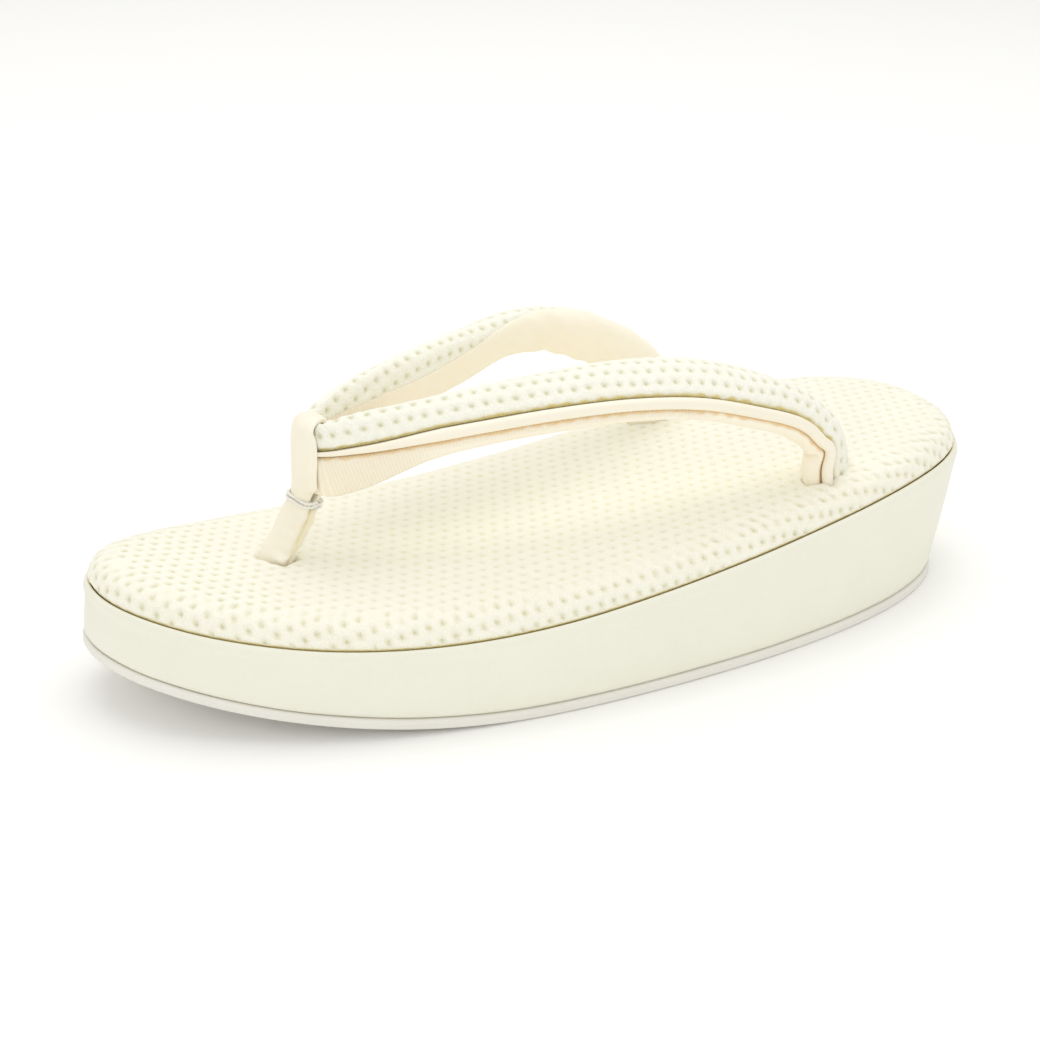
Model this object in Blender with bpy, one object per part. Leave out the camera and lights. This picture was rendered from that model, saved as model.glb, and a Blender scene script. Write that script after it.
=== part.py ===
"""Zori sandal: a woman's left sandal with a wedge sole and padded thong straps.

Toe towards -Y, heel towards +Y, +Z up, +X the outer side of the foot.
Sizes are in millimetres here and become metres when a mesh is made.
"""
import math
from collections import namedtuple

import bmesh
import bpy
from mathutils import Vector

MM = 0.001
NEARBY = 0.02

# Footprint of the sole, a long oval that bows slightly to the outer side
LENGTH = 240.0
WIDTH = 91.0
TOE_ROUNDNESS = 2.21
HEEL_ROUNDNESS = 2.41
TAPER = (-0.053, 0.067, 0.083)
BOW = -9.0
BOW_TWIST = 3.2
AROUND = 72

# Height of the rim where the cover meets the wrap, toe to heel
RIM_TABLE = (
    # y, rim height
    (-120.0, 28.8),
    (-100.0, 25.4),
    (-76.0, 22.9),
    (-50.0, 22.2),
    (-24.0, 23.2),
    (0.0, 25.4),
    (30.0, 28.9),
    (58.0, 32.2),
    (90.0, 35.0),
    (120.0, 35.6),
)

# Outsole and toe spring
OUTSOLE_THICK = 2.7
OUTSOLE_PROUD = 0.3
OUTSOLE_EDGE = 0.7
TOE_SPRING = 12.5
SPRING_START = 24.0
SEAT_GAP = 0.3

# How far the wall leans in from its lip to the outsole
LEAN_SIDE = 1.1
LEAN_TOE = -0.6
LEAN_HEEL = 6.4
WRAP_THICK = 1.9
WALL_SHARES = (0.0, 0.3, 0.62)
TOE_OVERHANG = OUTSOLE_PROUD - LEAN_TOE

# Wrap section above the leaning wall: inset from the lip, height from the rim
LIP_TABLE = (
    # inset, height
    (0.40, -3.6),
    (0.00, -2.2),
    (0.25, -0.7),
    (0.95, 0.0),
    (1.65, -0.5),
    (1.90, -1.8),
)

LIP_OUTER_ROWS = 3

# Toe seam where the ends of the wrap overlap
SEAM_ANGLE = 196.0
SEAM_STEP = 0.5
SEAM_FADE = 16.0
SEAM_CLEAR = 1.5
SEAM_WIDTH = 0.3

# Padded cover: inset from the lip, height from the rim
COVER_TABLE = (
    # inset, height
    (2.30, -1.5),
    (2.30, -0.4),
    (1.75, 0.9),
    (1.85, 2.4),
    (2.75, 4.3),
    (4.70, 5.8),
    (8.80, 6.8),
)
COVER_DIP = -0.5
COVER_COLUMNS = 6
CORE_TOP = -1.8

# Strap arms from the front bend to the rear end. Angles run round the section
# from its outer face (0) over the upper edge (90).
OUTER_ARM = (
    # x, y, z, yaw, tilt, half width, half thickness, piping angle, seam angle
    (3.4, -65.6, 55.2, 52.0, 3.0, 8.3, 2.3, 18.0, 120.0),
    (5.2, -63.6, 55.8, 33.0, 4.0, 8.9, 2.5, 15.0, 120.0),
    (8.9, -56.9, 58.5, 25.0, 9.0, 8.7, 3.1, 5.0, 120.0),
    (13.6, -43.6, 62.8, 18.0, 22.0, 7.1, 3.9, -14.0, 116.0),
    (17.8, -28.5, 65.9, 13.0, 36.0, 7.1, 4.5, -31.0, 110.0),
    (21.3, -12.1, 67.7, 10.0, 49.0, 7.6, 4.8, -42.0, 104.0),
    (23.9, 4.8, 68.6, 7.0, 57.0, 8.4, 4.9, -51.0, 98.0),
    (25.7, 21.6, 67.2, 5.0, 58.0, 8.7, 4.9, -54.0, 92.0),
    (26.8, 37.3, 62.8, 3.0, 52.0, 8.1, 4.8, -50.0, 86.0),
    (27.4, 51.1, 57.1, 1.0, 42.0, 6.9, 4.7, -43.0, 82.0),
    (27.9, 59.9, 49.7, 0.0, 30.0, 6.9, 4.3, -35.0, 80.0),
    (28.4, 62.1, 41.2, 0.0, 20.0, 7.8, 3.8, -28.0, 80.0),
    (28.6, 62.0, 31.0, 0.0, 18.0, 7.9, 3.6, -26.0, 80.0),
)
INNER_ARM = (
    # x, y, z, yaw, tilt, half width, half thickness, piping angle, seam angle
    (-3.4, -65.6, 55.2, 128.0, 3.0, 8.3, 2.3, 18.0, 131.0),
    (-5.2, -63.6, 55.9, 147.0, 4.0, 9.0, 2.5, 15.0, 140.0),
    (-8.7, -57.6, 58.1, 155.0, 7.0, 9.2, 3.1, 5.0, 150.0),
    (-13.2, -45.6, 60.9, 162.0, 15.0, 9.6, 3.9, -12.0, 155.0),
    (-17.4, -31.6, 63.7, 167.0, 25.0, 9.7, 4.5, -25.0, 152.0),
    (-20.9, -17.0, 66.4, 170.0, 32.0, 9.3, 4.8, -30.0, 134.0),
    (-23.8, -2.6, 69.5, 173.0, 39.0, 7.1, 4.9, -50.0, 99.0),
    (-25.8, 11.4, 68.4, 175.0, 38.0, 6.8, 4.9, -47.0, 68.0),
    (-27.0, 24.4, 63.6, 177.0, 32.0, 7.2, 4.8, -44.0, 56.0),
    (-27.7, 35.6, 57.2, 179.0, 26.0, 6.8, 4.7, -40.0, 58.0),
    (-28.2, 42.6, 49.4, 180.0, 20.0, 6.5, 4.3, -34.0, 62.0),
    (-29.2, 45.4, 41.0, 180.0, 14.0, 6.8, 3.8, -28.0, 66.0),
    (-29.8, 46.0, 31.0, 180.0, 14.0, 7.0, 3.6, -26.0, 66.0),
)
STRAP_TIP = (0.0, -66.6, 55.2, 90.0, 2.0, 8.2, 2.2, 19.0, 123.0)
STEPS_PER_ROW = 2
SHELL = 1.4
COVER_POINTS = 8
LINING_POINTS = 13
PADDING_POINTS = 10
PADDING_DEPTH = 1.9
PIPING_RADIUS = 1.4
PIPING_SIDES = 8
PIPING_FRONT_STEPS = 3
PIPING_THIN = 0.35
PIPING_THIN_Y = -64.0
PIPING_FULL_Y = -40.0
GAP = 0.3
STRAP_SEAM_GAP = 0.42

# Leather loop over the front bend, in the plane between the straps
LOOP_TABLE = (
    # x, y, z, width, thickness, bulge, twist
    (-3.2, -73.6, 19.2, 7.2, 1.9, 0.2, 30.0),
    (-3.1, -73.1, 29.4, 7.2, 1.9, 0.2, 30.0),
    (-2.8, -70.4, 34.8, 7.2, 1.8, 0.2, 28.0),
    (-1.8, -67.0, 41.6, 6.2, 1.6, 0.1, 20.0),
    (-0.7, -65.9, 44.8, 4.6, 1.3, 0.0, 10.0),
    (0.0, -62.7, 49.0, 3.6, 1.3, 0.0, 0.0),
    (0.0, -62.2, 57.0, 3.6, 1.3, 0.0, 0.0),
    (0.0, -62.4, 62.4, 3.6, 1.3, 0.0, 0.0),
    (0.0, -63.7, 64.7, 4.6, 1.3, 0.1, 0.0),
    (0.0, -66.6, 65.2, 8.2, 1.3, 0.3, 0.0),
    (0.0, -69.2, 63.8, 11.4, 1.3, 1.6, 0.0),
    (0.0, -70.2, 60.2, 12.2, 1.3, 2.8, 0.0),
    (0.0, -70.3, 56.0, 12.2, 1.3, 2.9, 0.0),
    (0.0, -70.2, 51.6, 11.9, 1.3, 2.6, 0.0),
    (0.0, -70.0, 48.4, 11.2, 1.3, 2.2, -4.0),
    (-0.9, -69.3, 45.2, 6.8, 1.5, 0.5, -18.0),
    (-1.7, -70.2, 41.6, 7.4, 1.8, 0.3, -26.0),
    (-2.3, -73.0, 35.4, 7.5, 1.8, 0.3, -28.0),
    (-2.6, -76.0, 29.4, 7.5, 1.9, 0.3, -30.0),
    (-2.6, -76.6, 19.2, 7.3, 1.9, 0.3, -30.0),
)
LOOP_ACROSS = 6
LOOP_STEPS = 2

# Thread tied round both strands of the loop under the straps
THREAD_RADIUS = 0.33
THREAD_TURNS = 2.0
THREAD_CENTRE = (-1.4, -68.0)
THREAD_HALF_X = 4.75
THREAD_HALF_Y = 3.55
THREAD_SQUARENESS = 0.45
THREAD_TWIST = 20.0
THREAD_LOW = 43.6
THREAD_RISE = 1.8
THREAD_TILT = 0.2
THREAD_LEAN = 0.42
THREAD_PER_TURN = 16
THREAD_SIDES = 6

# Hole for the loop and slots for the strap ends
HOLE_CENTRE = (-2.75, -74.6)
HOLE_HALF_X = 4.95
HOLE_HALF_Y = 3.65
HOLE_SQUARENESS = 0.25
HOLE_TWIST = 30.0
HOLE_SIDES = 20
HOLE_FLOOR = 18.4
HOLE_TOP = 44.0
SLOT_CLEARANCE = 0.5
SLOT_SIDES = 24
SLOT_TOP = 52.0
PIPING_REACH = 65.0

Station = namedtuple("Station", "centre wide face half_wide half_thick piping seam")

COLOURS = {
    "canvas": (0.930, 0.925, 0.850, 0.80, 0.0),
    "wrap_leather": (0.860, 0.835, 0.715, 0.42, 0.0),
    "outsole_rubber": (0.700, 0.700, 0.660, 0.70, 0.0),
    "core_foam": (0.780, 0.740, 0.640, 0.90, 0.0),
    "lining": (0.870, 0.740, 0.570, 0.85, 0.0),
    "padding": (0.900, 0.890, 0.850, 0.95, 0.0),
    "loop_leather": (0.860, 0.800, 0.650, 0.40, 0.0),
    "thread": (0.940, 0.935, 0.910, 0.70, 0.0),
}


def clear_scene():
    """Remove whatever the open file holds."""
    for obj in list(bpy.data.objects):
        bpy.data.objects.remove(obj, do_unlink=True)


def material(name):
    """Make a Principled material from the colour table."""
    red, green, blue, rough, metal = COLOURS[name]
    made = bpy.data.materials.new(name)
    made.use_nodes = True
    shader = made.node_tree.nodes["Principled BSDF"]
    shader.inputs["Base Color"].default_value = (red, green, blue, 1.0)
    shader.inputs["Roughness"].default_value = rough
    shader.inputs["Metallic"].default_value = metal
    return made


def add_object(name, verts, faces, surface):
    """Turn points in millimetres and faces into a smooth-shaded object."""
    mesh = bpy.data.meshes.new(name)
    shift = Vector((0.0, TOE_OVERHANG / 2, 0.0))
    mesh.from_pydata([(Vector(v) + shift) * MM for v in verts], [], faces)
    mesh.validate()
    work = bmesh.new()
    work.from_mesh(mesh)
    bmesh.ops.recalc_face_normals(work, faces=work.faces)
    work.to_mesh(mesh)
    work.free()
    mesh.materials.append(surface)
    mesh.shade_smooth()
    obj = bpy.data.objects.new(name, mesh)
    bpy.context.scene.collection.objects.link(obj)
    return obj


def spline(rows, place):
    """Value of a table of rows at a fractional row number, smooth through all."""
    last = len(rows) - 1
    index = min(int(place), last - 1)
    t = place - index
    before = rows[max(index - 1, 0)]
    start = rows[index]
    end = rows[index + 1]
    after = rows[min(index + 2, last)]
    values = []
    for a, b, c, d in zip(before, start, end, after):
        slope_in = (c - a) / 2
        slope_out = (d - b) / 2
        h1 = 2 * t ** 3 - 3 * t ** 2 + 1
        h2 = t ** 3 - 2 * t ** 2 + t
        h3 = -2 * t ** 3 + 3 * t ** 2
        h4 = t ** 3 - t ** 2
        values.append(h1 * b + h2 * slope_in + h3 * c + h4 * slope_out)
    return values


def rim_height(y):
    """Height of the rim line at a distance along the sole."""
    y = min(max(y, RIM_TABLE[0][0]), RIM_TABLE[-1][0])
    for index in range(len(RIM_TABLE) - 1):
        low, high = RIM_TABLE[index][0], RIM_TABLE[index + 1][0]
        if y <= high:
            break
    span = high - low
    t = (y - low) / span
    z_low, z_high = RIM_TABLE[index][1], RIM_TABLE[index + 1][1]
    slope_low = rim_slope(index)
    slope_high = rim_slope(index + 1)
    h1 = 2 * t ** 3 - 3 * t ** 2 + 1
    h2 = (t ** 3 - 2 * t ** 2 + t) * span
    h3 = -2 * t ** 3 + 3 * t ** 2
    h4 = (t ** 3 - t ** 2) * span
    return h1 * z_low + h2 * slope_low + h3 * z_high + h4 * slope_high


def rim_slope(index):
    """Slope of the rim line at a row of its table."""
    before = RIM_TABLE[max(index - 1, 0)]
    after = RIM_TABLE[min(index + 1, len(RIM_TABLE) - 1)]
    return (after[1] - before[1]) / (after[0] - before[0])


def floor_height(y):
    """Height of the outsole's underside: flat, then rising at the toe."""
    rise = max(0.0, -y - SPRING_START) / (LENGTH / 2 - SPRING_START)
    return TOE_SPRING * rise ** 2


def centre_line(u):
    """Sideways bow of the footprint, u from -1 at the toe to 1 at the heel."""
    return BOW * (u * u - 0.4) + BOW_TWIST * (u ** 3 - 0.6 * u)


def footprint(angle, side, toe, heel):
    """Point of the outline at an angle (0 heel, 180 toe), moved in by insets."""
    c = math.cos(math.radians(angle))
    s = math.sin(math.radians(angle))
    roundness = HEEL_ROUNDNESS if c > 0 else TOE_ROUNDNESS
    u = math.copysign(abs(c) ** (2 / roundness), c)
    v = math.copysign(abs(s) ** (2 / roundness), s)
    if abs(s) < 1e-9:
        v = 0.0
    half_length = LENGTH / 2 - (heel if c > 0 else toe)
    spread = 1 + TAPER[0] * u + TAPER[1] * u ** 2 + TAPER[2] * u ** 3
    half_width = WIDTH / 2 * spread - side
    return v * half_width + centre_line(u), u * half_length


def outline_middle():
    """Middle of the outline's width, so that the sandal sits over its origin."""
    xs = [footprint(angle, 0.0, 0.0, 0.0)[0] for angle in range(360)]
    return (min(xs) + max(xs)) / 2


AXIS_SHIFT = outline_middle()


def outline_angles():
    """Evenly spaced angles round the footprint, heel first."""
    return [360.0 * step / AROUND for step in range(AROUND)]


def level_ring(inset, height_of, lean=0.0):
    """Ring of the footprint at an inset, with its height worked out from y."""
    ring = []
    for angle in outline_angles():
        side = inset + lean * LEAN_SIDE
        toe = inset + lean * LEAN_TOE
        heel = inset + lean * LEAN_HEEL
        x, y = footprint(angle, side, toe, heel)
        ring.append((x - AXIS_SHIFT, y, height_of(y)))
    return ring


def bridge(first, second, count):
    """Quads between two closed rings that start at the given indices."""
    faces = []
    for step in range(count):
        after = (step + 1) % count
        faces.append((first + step, first + after, second + after, second + step))
    return faces


def cap(verts, faces, start, columns=1, dip=0.0):
    """Close a footprint ring with strips across it, dished by a dip."""
    half = AROUND // 2
    rows = []
    for step in range(1, half):
        right = start + step
        left = start + AROUND - step
        row = [right]
        for column in range(1, columns):
            part = column / columns
            a, b = verts[right], verts[left]
            sink = dip * (1 - (2 * part - 1) ** 2) * math.sin(math.pi * step / half)
            point = [a[axis] + (b[axis] - a[axis]) * part for axis in range(3)]
            point[2] -= sink
            verts.append(tuple(point))
            row.append(len(verts) - 1)
        row.append(left)
        rows.append(row)
    for near, far in zip(rows, rows[1:]):
        for column in range(columns):
            faces.append((near[column], near[column + 1], far[column + 1], far[column]))
    for tip, row in ((start, rows[0]), (start + half, rows[-1])):
        for column in range(columns):
            faces.append((tip, row[column], row[column + 1]))


def stack_rings(rings, top_columns=1, dip=0.0):
    """Points and faces of a solid made of footprint rings, bottom one first."""
    verts, faces = [], []
    for ring in rings:
        verts.extend(ring)
    for index in range(len(rings) - 1):
        faces += bridge(index * AROUND, (index + 1) * AROUND, AROUND)
    cap(verts, faces, 0)
    cap(verts, faces, (len(rings) - 1) * AROUND, top_columns, dip)
    return verts, faces


def loft(rings, closed=False):
    """Points and faces of a skin through closed rings, with flat ends."""
    count = len(rings[0])
    verts = [point for ring in rings for point in ring]
    faces = []
    for index in range(len(rings) - 1):
        faces += bridge(index * count, (index + 1) * count, count)
    if closed:
        faces += bridge((len(rings) - 1) * count, 0, count)
    else:
        faces.append(tuple(reversed(range(count))))
        faces.append(tuple(range(len(verts) - count, len(verts))))
    return verts, faces


def wall_bottom(y):
    """Height where the wrap and core start, just above the outsole."""
    return floor_height(y) + OUTSOLE_THICK + SEAT_GAP


def make_outsole(surface):
    """Thin tread plate with a softened lower edge."""
    proud = -OUTSOLE_PROUD
    rings = (
        level_ring(proud + OUTSOLE_EDGE, floor_height, 1.0),
        level_ring(proud, lambda y: floor_height(y) + OUTSOLE_EDGE, 1.0),
        level_ring(proud, lambda y: floor_height(y) + OUTSOLE_THICK, 1.0),
    )
    verts, faces = stack_rings(rings)
    return add_object("outsole", verts, faces, surface)


def make_core(surface):
    """Foam wedge inside the wrap."""
    inset = WRAP_THICK + GAP
    rings = (
        level_ring(inset, wall_bottom, 1.0),
        level_ring(inset, lambda y: rim_height(y) + CORE_TOP, 0.0),
    )
    verts, faces = stack_rings(rings)
    return add_object("sole_core", verts, faces, surface)


def wrap_angles():
    """Angles round the wrap, with a close pair at its toe seam."""
    clear = [one for one in outline_angles() if abs(one - SEAM_ANGLE) > SEAM_CLEAR]
    pair = [SEAM_ANGLE - SEAM_WIDTH / 2, SEAM_ANGLE + SEAM_WIDTH / 2]
    return sorted(clear + pair)


def seam_offset(angle):
    """How far the overlapping end of the wrap stands out at an angle."""
    past = angle - SEAM_ANGLE
    if past < 0 or past > SEAM_FADE:
        return 0.0
    return SEAM_STEP * (1 - past / SEAM_FADE)


def wrap_point(angle, inset, lean, height_of):
    """Point of the wrap at an angle, inset and share of the wall's lean."""
    side = inset + lean * LEAN_SIDE
    toe = inset + lean * LEAN_TOE
    heel = inset + lean * LEAN_HEEL
    x, y = footprint(angle, side, toe, heel)
    return x - AXIS_SHIFT, y, height_of(y)


def wrap_section(angle):
    """Closed section of the wrap at one angle round the sole."""
    out = seam_offset(angle)
    section = []
    for share in WALL_SHARES:
        lean = 1.0 - share

        def height_of(y, share=share):
            low = wall_bottom(y)
            return low + share * (rim_height(y) + LIP_TABLE[0][1] - low)

        inset = LIP_TABLE[0][0] * share - out
        section.append(wrap_point(angle, inset, lean, height_of))
    for index, (inset, height) in enumerate(LIP_TABLE):
        shift = out if index < LIP_OUTER_ROWS else 0.0
        section.append(
            wrap_point(angle, inset - shift, 0.0, lambda y, h=height: rim_height(y) + h)
        )
    section.append(wrap_point(angle, WRAP_THICK, 1.0, wall_bottom))
    return section


def make_wrap(surface):
    """Leather band round the core, rolled to a lip at its top edge."""
    sections = [wrap_section(angle) for angle in wrap_angles()]
    verts, faces = loft(sections, closed=True)
    return add_object("side_wrap", verts, faces, surface)


def make_cover(surface):
    """Padded canvas cover that rises like a pillow inside the lip."""
    rings = []
    for inset, height in COVER_TABLE:
        rings.append(level_ring(inset, lambda y, h=height: rim_height(y) + h))
    verts, faces = stack_rings(rings, COVER_COLUMNS, COVER_DIP)
    return add_object("footbed_cover", verts, faces, surface)


def strap_rows():
    """Rows from the outer rear end, round the front bend, to the inner rear end."""
    return list(reversed(OUTER_ARM)) + [STRAP_TIP] + list(INNER_ARM)


def strap_stations():
    """Finely spaced sections along both straps."""
    rows = strap_rows()
    last = len(rows) - 1
    places = [step / STEPS_PER_ROW for step in range(last * STEPS_PER_ROW + 1)]
    stations = []
    for place in places:
        values = spline(rows, place)
        ahead = Vector(spline(rows, min(place + NEARBY, last))[:3])
        behind = Vector(spline(rows, max(place - NEARBY, 0))[:3])
        along = (ahead - behind).normalized()
        yaw = math.radians(values[3])
        inward = Vector((-math.cos(yaw), math.sin(yaw), 0.0))
        inward = (inward - along * inward.dot(along)).normalized()
        upward = inward.cross(along)
        tilt = math.radians(values[4])
        wide = inward * math.sin(tilt) + upward * math.cos(tilt)
        face = upward * math.sin(tilt) - inward * math.cos(tilt)
        centre = Vector((values[0] - AXIS_SHIFT, values[1], values[2]))
        stations.append(Station(centre, wide, face, *values[5:]))
    return stations


def strap_point(station, degrees, depth):
    """Point on a strap section at an angle, a depth below its surface."""
    angle = math.radians(degrees)
    across = (station.half_wide - depth) * math.sin(angle)
    out = (station.half_thick - depth) * math.cos(angle)
    return tuple(station.centre + station.wide * across + station.face * out)


def span_for(station, degrees, length):
    """Angle that covers a length along the section's surface near an angle."""
    angle = math.radians(degrees)
    along_wide = station.half_wide * math.cos(angle)
    along_face = station.half_thick * math.sin(angle)
    return math.degrees(length / math.hypot(along_wide, along_face))


def piping_radius(station):
    """Radius of the piping, which thins out toward the front loop."""
    part = (station.centre.y - PIPING_THIN_Y) / (PIPING_FULL_Y - PIPING_THIN_Y)
    part = min(max(part, 0.0), 1.0)
    return PIPING_RADIUS * (PIPING_THIN + (1 - PIPING_THIN) * part)


def shell_ring(station, start, end, points):
    """Closed ring of a curved wall between two angles of a strap section."""
    parts = [step / (points - 1) for step in range(points)]
    angles = [start + (end - start) * part for part in parts]
    ring = [strap_point(station, angle, 0.0) for angle in angles]
    ring += [strap_point(station, angle, SHELL) for angle in reversed(angles)]
    return ring


def make_strap_cover(surface, stations):
    """Canvas wall over the top and outer face of both straps."""
    rings = []
    for station in stations:
        edge = station.piping
        margin = span_for(station, edge, piping_radius(station) + GAP)
        rings.append(shell_ring(station, station.seam, edge + margin, COVER_POINTS))
    verts, faces = loft(rings)
    return add_object("strap_cover", verts, faces, surface)


def make_strap_lining(surface, stations):
    """Soft wall round the underside and inner face of both straps."""
    rings = []
    for station in stations:
        edge = station.piping
        margin = span_for(station, edge, piping_radius(station) + GAP)
        seam = station.seam - 360.0 + span_for(station, station.seam, STRAP_SEAM_GAP)
        rings.append(shell_ring(station, edge - margin, seam, LINING_POINTS))
    verts, faces = loft(rings)
    return add_object("strap_lining", verts, faces, surface)


def make_strap_padding(surface, stations):
    """Cotton filling inside the two walls."""
    rings = []
    for station in stations:
        ring = []
        for step in range(PADDING_POINTS):
            degrees = 360.0 * step / PADDING_POINTS
            ring.append(strap_point(station, degrees, PADDING_DEPTH))
        rings.append(ring)
    verts, faces = loft(rings)
    return add_object("strap_padding", verts, faces, surface)


def make_piping(name, surface, stations):
    """Leather-covered cord sewn along the outer seam of one strap."""
    rings = []
    centres = [Vector(strap_point(one, one.piping, 0.0)) for one in stations]
    for index, station in enumerate(stations):
        before = centres[max(index - 1, 0)]
        after = centres[min(index + 1, len(centres) - 1)]
        along = (after - before).normalized()
        out = (station.face - along * station.face.dot(along)).normalized()
        other = along.cross(out)
        ring = []
        for side in range(PIPING_SIDES):
            turn = 2 * math.pi * side / PIPING_SIDES
            offset = out * math.cos(turn) + other * math.sin(turn)
            ring.append(tuple(centres[index] + offset * piping_radius(station)))
        rings.append(ring)
    verts, faces = loft(rings)
    return add_object(name, verts, faces, surface)


def loop_section(row, along):
    """Closed section of the leather loop across its width, turned by its twist."""
    x, y, z, width, thickness, bulge, twist = row
    square = Vector((0.0, along.z, -along.y))
    sideways = Vector((1.0, 0.0, 0.0))
    c, s = math.cos(math.radians(twist)), math.sin(math.radians(twist))
    across = sideways * c + square * s
    normal = square * c - sideways * s
    centre = Vector((x - AXIS_SHIFT, y, z))
    outer, inner = [], []
    for step in range(LOOP_ACROSS + 1):
        part = 2 * step / LOOP_ACROSS - 1
        base = centre + across * part * width / 2
        base -= normal * bulge * part * part
        outer.append(tuple(base + normal * thickness / 2))
        inner.append(tuple(base - normal * thickness / 2))
    return outer + list(reversed(inner))


def make_front_loop(surface):
    """Leather band over the front bend whose two ends go into the footbed."""
    last = len(LOOP_TABLE) - 1
    rings = []
    for step in range(last * LOOP_STEPS + 1):
        place = step / LOOP_STEPS
        row = spline(LOOP_TABLE, place)
        ahead = spline(LOOP_TABLE, min(place + NEARBY, last))
        behind = spline(LOOP_TABLE, max(place - NEARBY, 0))
        along = Vector((0.0, ahead[1] - behind[1], ahead[2] - behind[2]))
        rings.append(loop_section(row, along.normalized()))
    verts, faces = loft(rings)
    return add_object("front_loop", verts, faces, surface)


def turned(x, y, degrees):
    """A point turned about the origin, seen from above."""
    c, s = math.cos(math.radians(degrees)), math.sin(math.radians(degrees))
    return x * c - y * s, x * s + y * c


def make_thread(surface):
    """Thread wound round both strands of the loop."""
    count = int(THREAD_TURNS * THREAD_PER_TURN)
    rings = []
    for step in range(count + 1):
        turn = 2 * math.pi * step / THREAD_PER_TURN
        rise = THREAD_RISE * step / count
        out = Vector((math.cos(turn), math.sin(turn), 0.0))
        x = THREAD_HALF_X * math.copysign(abs(out.x) ** THREAD_SQUARENESS, out.x)
        y = THREAD_HALF_Y * math.copysign(abs(out.y) ** THREAD_SQUARENESS, out.y)
        low = THREAD_LOW - THREAD_TILT * x
        x, y = turned(x, y, THREAD_TWIST)
        out = Vector((*turned(out.x, out.y, THREAD_TWIST), 0.0))
        centre = Vector((
            x + THREAD_CENTRE[0] - AXIS_SHIFT,
            y + THREAD_CENTRE[1] + THREAD_LEAN * rise,
            low + rise,
        ))
        ring = []
        for side in range(THREAD_SIDES):
            angle = 2 * math.pi * side / THREAD_SIDES
            offset = out * math.cos(angle) + Vector((0.0, 0.0, math.sin(angle)))
            ring.append(tuple(centre + offset * THREAD_RADIUS))
        rings.append(ring)
    verts, faces = loft(rings)
    return add_object("loop_thread", verts, faces, surface)


def cut(target, cutter):
    """Subtract a cutter from a solid and keep the cutter as a wire guide."""
    cutter.hide_render = True
    cutter.display_type = "WIRE"
    change = target.modifiers.new("cut_" + cutter.name, "BOOLEAN")
    change.operation = "DIFFERENCE"
    change.solver = "EXACT"
    change.object = cutter


def hole_cutter(surface):
    """Oval plug for the hole that the loop goes into."""
    rings = []
    for height in (HOLE_FLOOR, HOLE_TOP):
        ring = []
        for step in range(HOLE_SIDES):
            angle = 2 * math.pi * step / HOLE_SIDES
            c, s = math.cos(angle), math.sin(angle)
            x = HOLE_HALF_X * math.copysign(abs(c) ** HOLE_SQUARENESS, c)
            y = HOLE_HALF_Y * math.copysign(abs(s) ** HOLE_SQUARENESS, s)
            x, y = turned(x, y, HOLE_TWIST)
            ring.append((x + HOLE_CENTRE[0] - AXIS_SHIFT, y + HOLE_CENTRE[1], height))
        rings.append(ring)
    verts, faces = loft(rings)
    return add_object("cut_front_hole", verts, faces, surface)


def slot_ring(station, drop):
    """Strap section with clearance, swollen on its piping side, moved down."""
    ring = []
    for step in range(SLOT_SIDES):
        degrees = 360.0 * step / SLOT_SIDES
        off_edge = abs((degrees - station.piping + 180.0) % 360.0 - 180.0)
        spot = Vector(strap_point(station, degrees, -SLOT_CLEARANCE))
        if off_edge < PIPING_REACH:
            spot += station.face * PIPING_RADIUS
        ring.append((spot.x, spot.y, spot.z - drop))
    return ring


def slot_cutter(name, surface, stations):
    """Plug that follows a strap's rear end down into the sole."""
    buried = [station for station in stations if station.centre.z < SLOT_TOP]
    rings = [slot_ring(buried[0], SLOT_CLEARANCE)]
    rings += [slot_ring(station, 0.0) for station in buried[1:]]
    verts, faces = loft(rings)
    return add_object(name, verts, faces, surface)


def build():
    """Make every piece of the sandal and parent it to one empty."""
    clear_scene()
    surfaces = {name: material(name) for name in COLOURS}
    stations = strap_stations()
    outer_end = len(OUTER_ARM) * STEPS_PER_ROW - PIPING_FRONT_STEPS
    inner_start = len(stations) - outer_end
    half = len(stations) // 2

    pieces = [
        make_outsole(surfaces["outsole_rubber"]),
        make_core(surfaces["core_foam"]),
        make_wrap(surfaces["wrap_leather"]),
        make_cover(surfaces["canvas"]),
        make_strap_cover(surfaces["canvas"], stations),
        make_strap_lining(surfaces["lining"], stations),
        make_strap_padding(surfaces["padding"], stations),
        make_piping("piping_outer", surfaces["loop_leather"], stations[:outer_end]),
        make_piping("piping_inner", surfaces["loop_leather"], stations[inner_start:]),
        make_front_loop(surfaces["loop_leather"]),
        make_thread(surfaces["thread"]),
    ]
    cutters = [
        hole_cutter(surfaces["core_foam"]),
        slot_cutter("cut_outer_slot", surfaces["core_foam"], stations[:half]),
        slot_cutter("cut_inner_slot", surfaces["core_foam"], stations[:half:-1]),
    ]
    for target in (pieces[1], pieces[3]):
        for cutter in cutters:
            cut(target, cutter)

    root = bpy.data.objects.new("zori_sandal", None)
    bpy.context.scene.collection.objects.link(root)
    for obj in pieces + cutters:
        obj.parent = root


build()
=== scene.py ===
# %% [markdown]
# # A zori sandal
#
# A zori is a wedge sandal held on by a V of two padded straps. A sandal maker
# covers a foam wedge with a band of leather, stretches a padded canvas cover
# over its top, and threads the strap ends down through the sole. Here each of
# those pieces becomes one mesh, worked out from the same sizes as the solids
# of the model, so that everything meets where it should.

# %% Load the solid model
import math

import bpy
import bmesh
import numpy as np
from mathutils import Matrix, Vector


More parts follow.
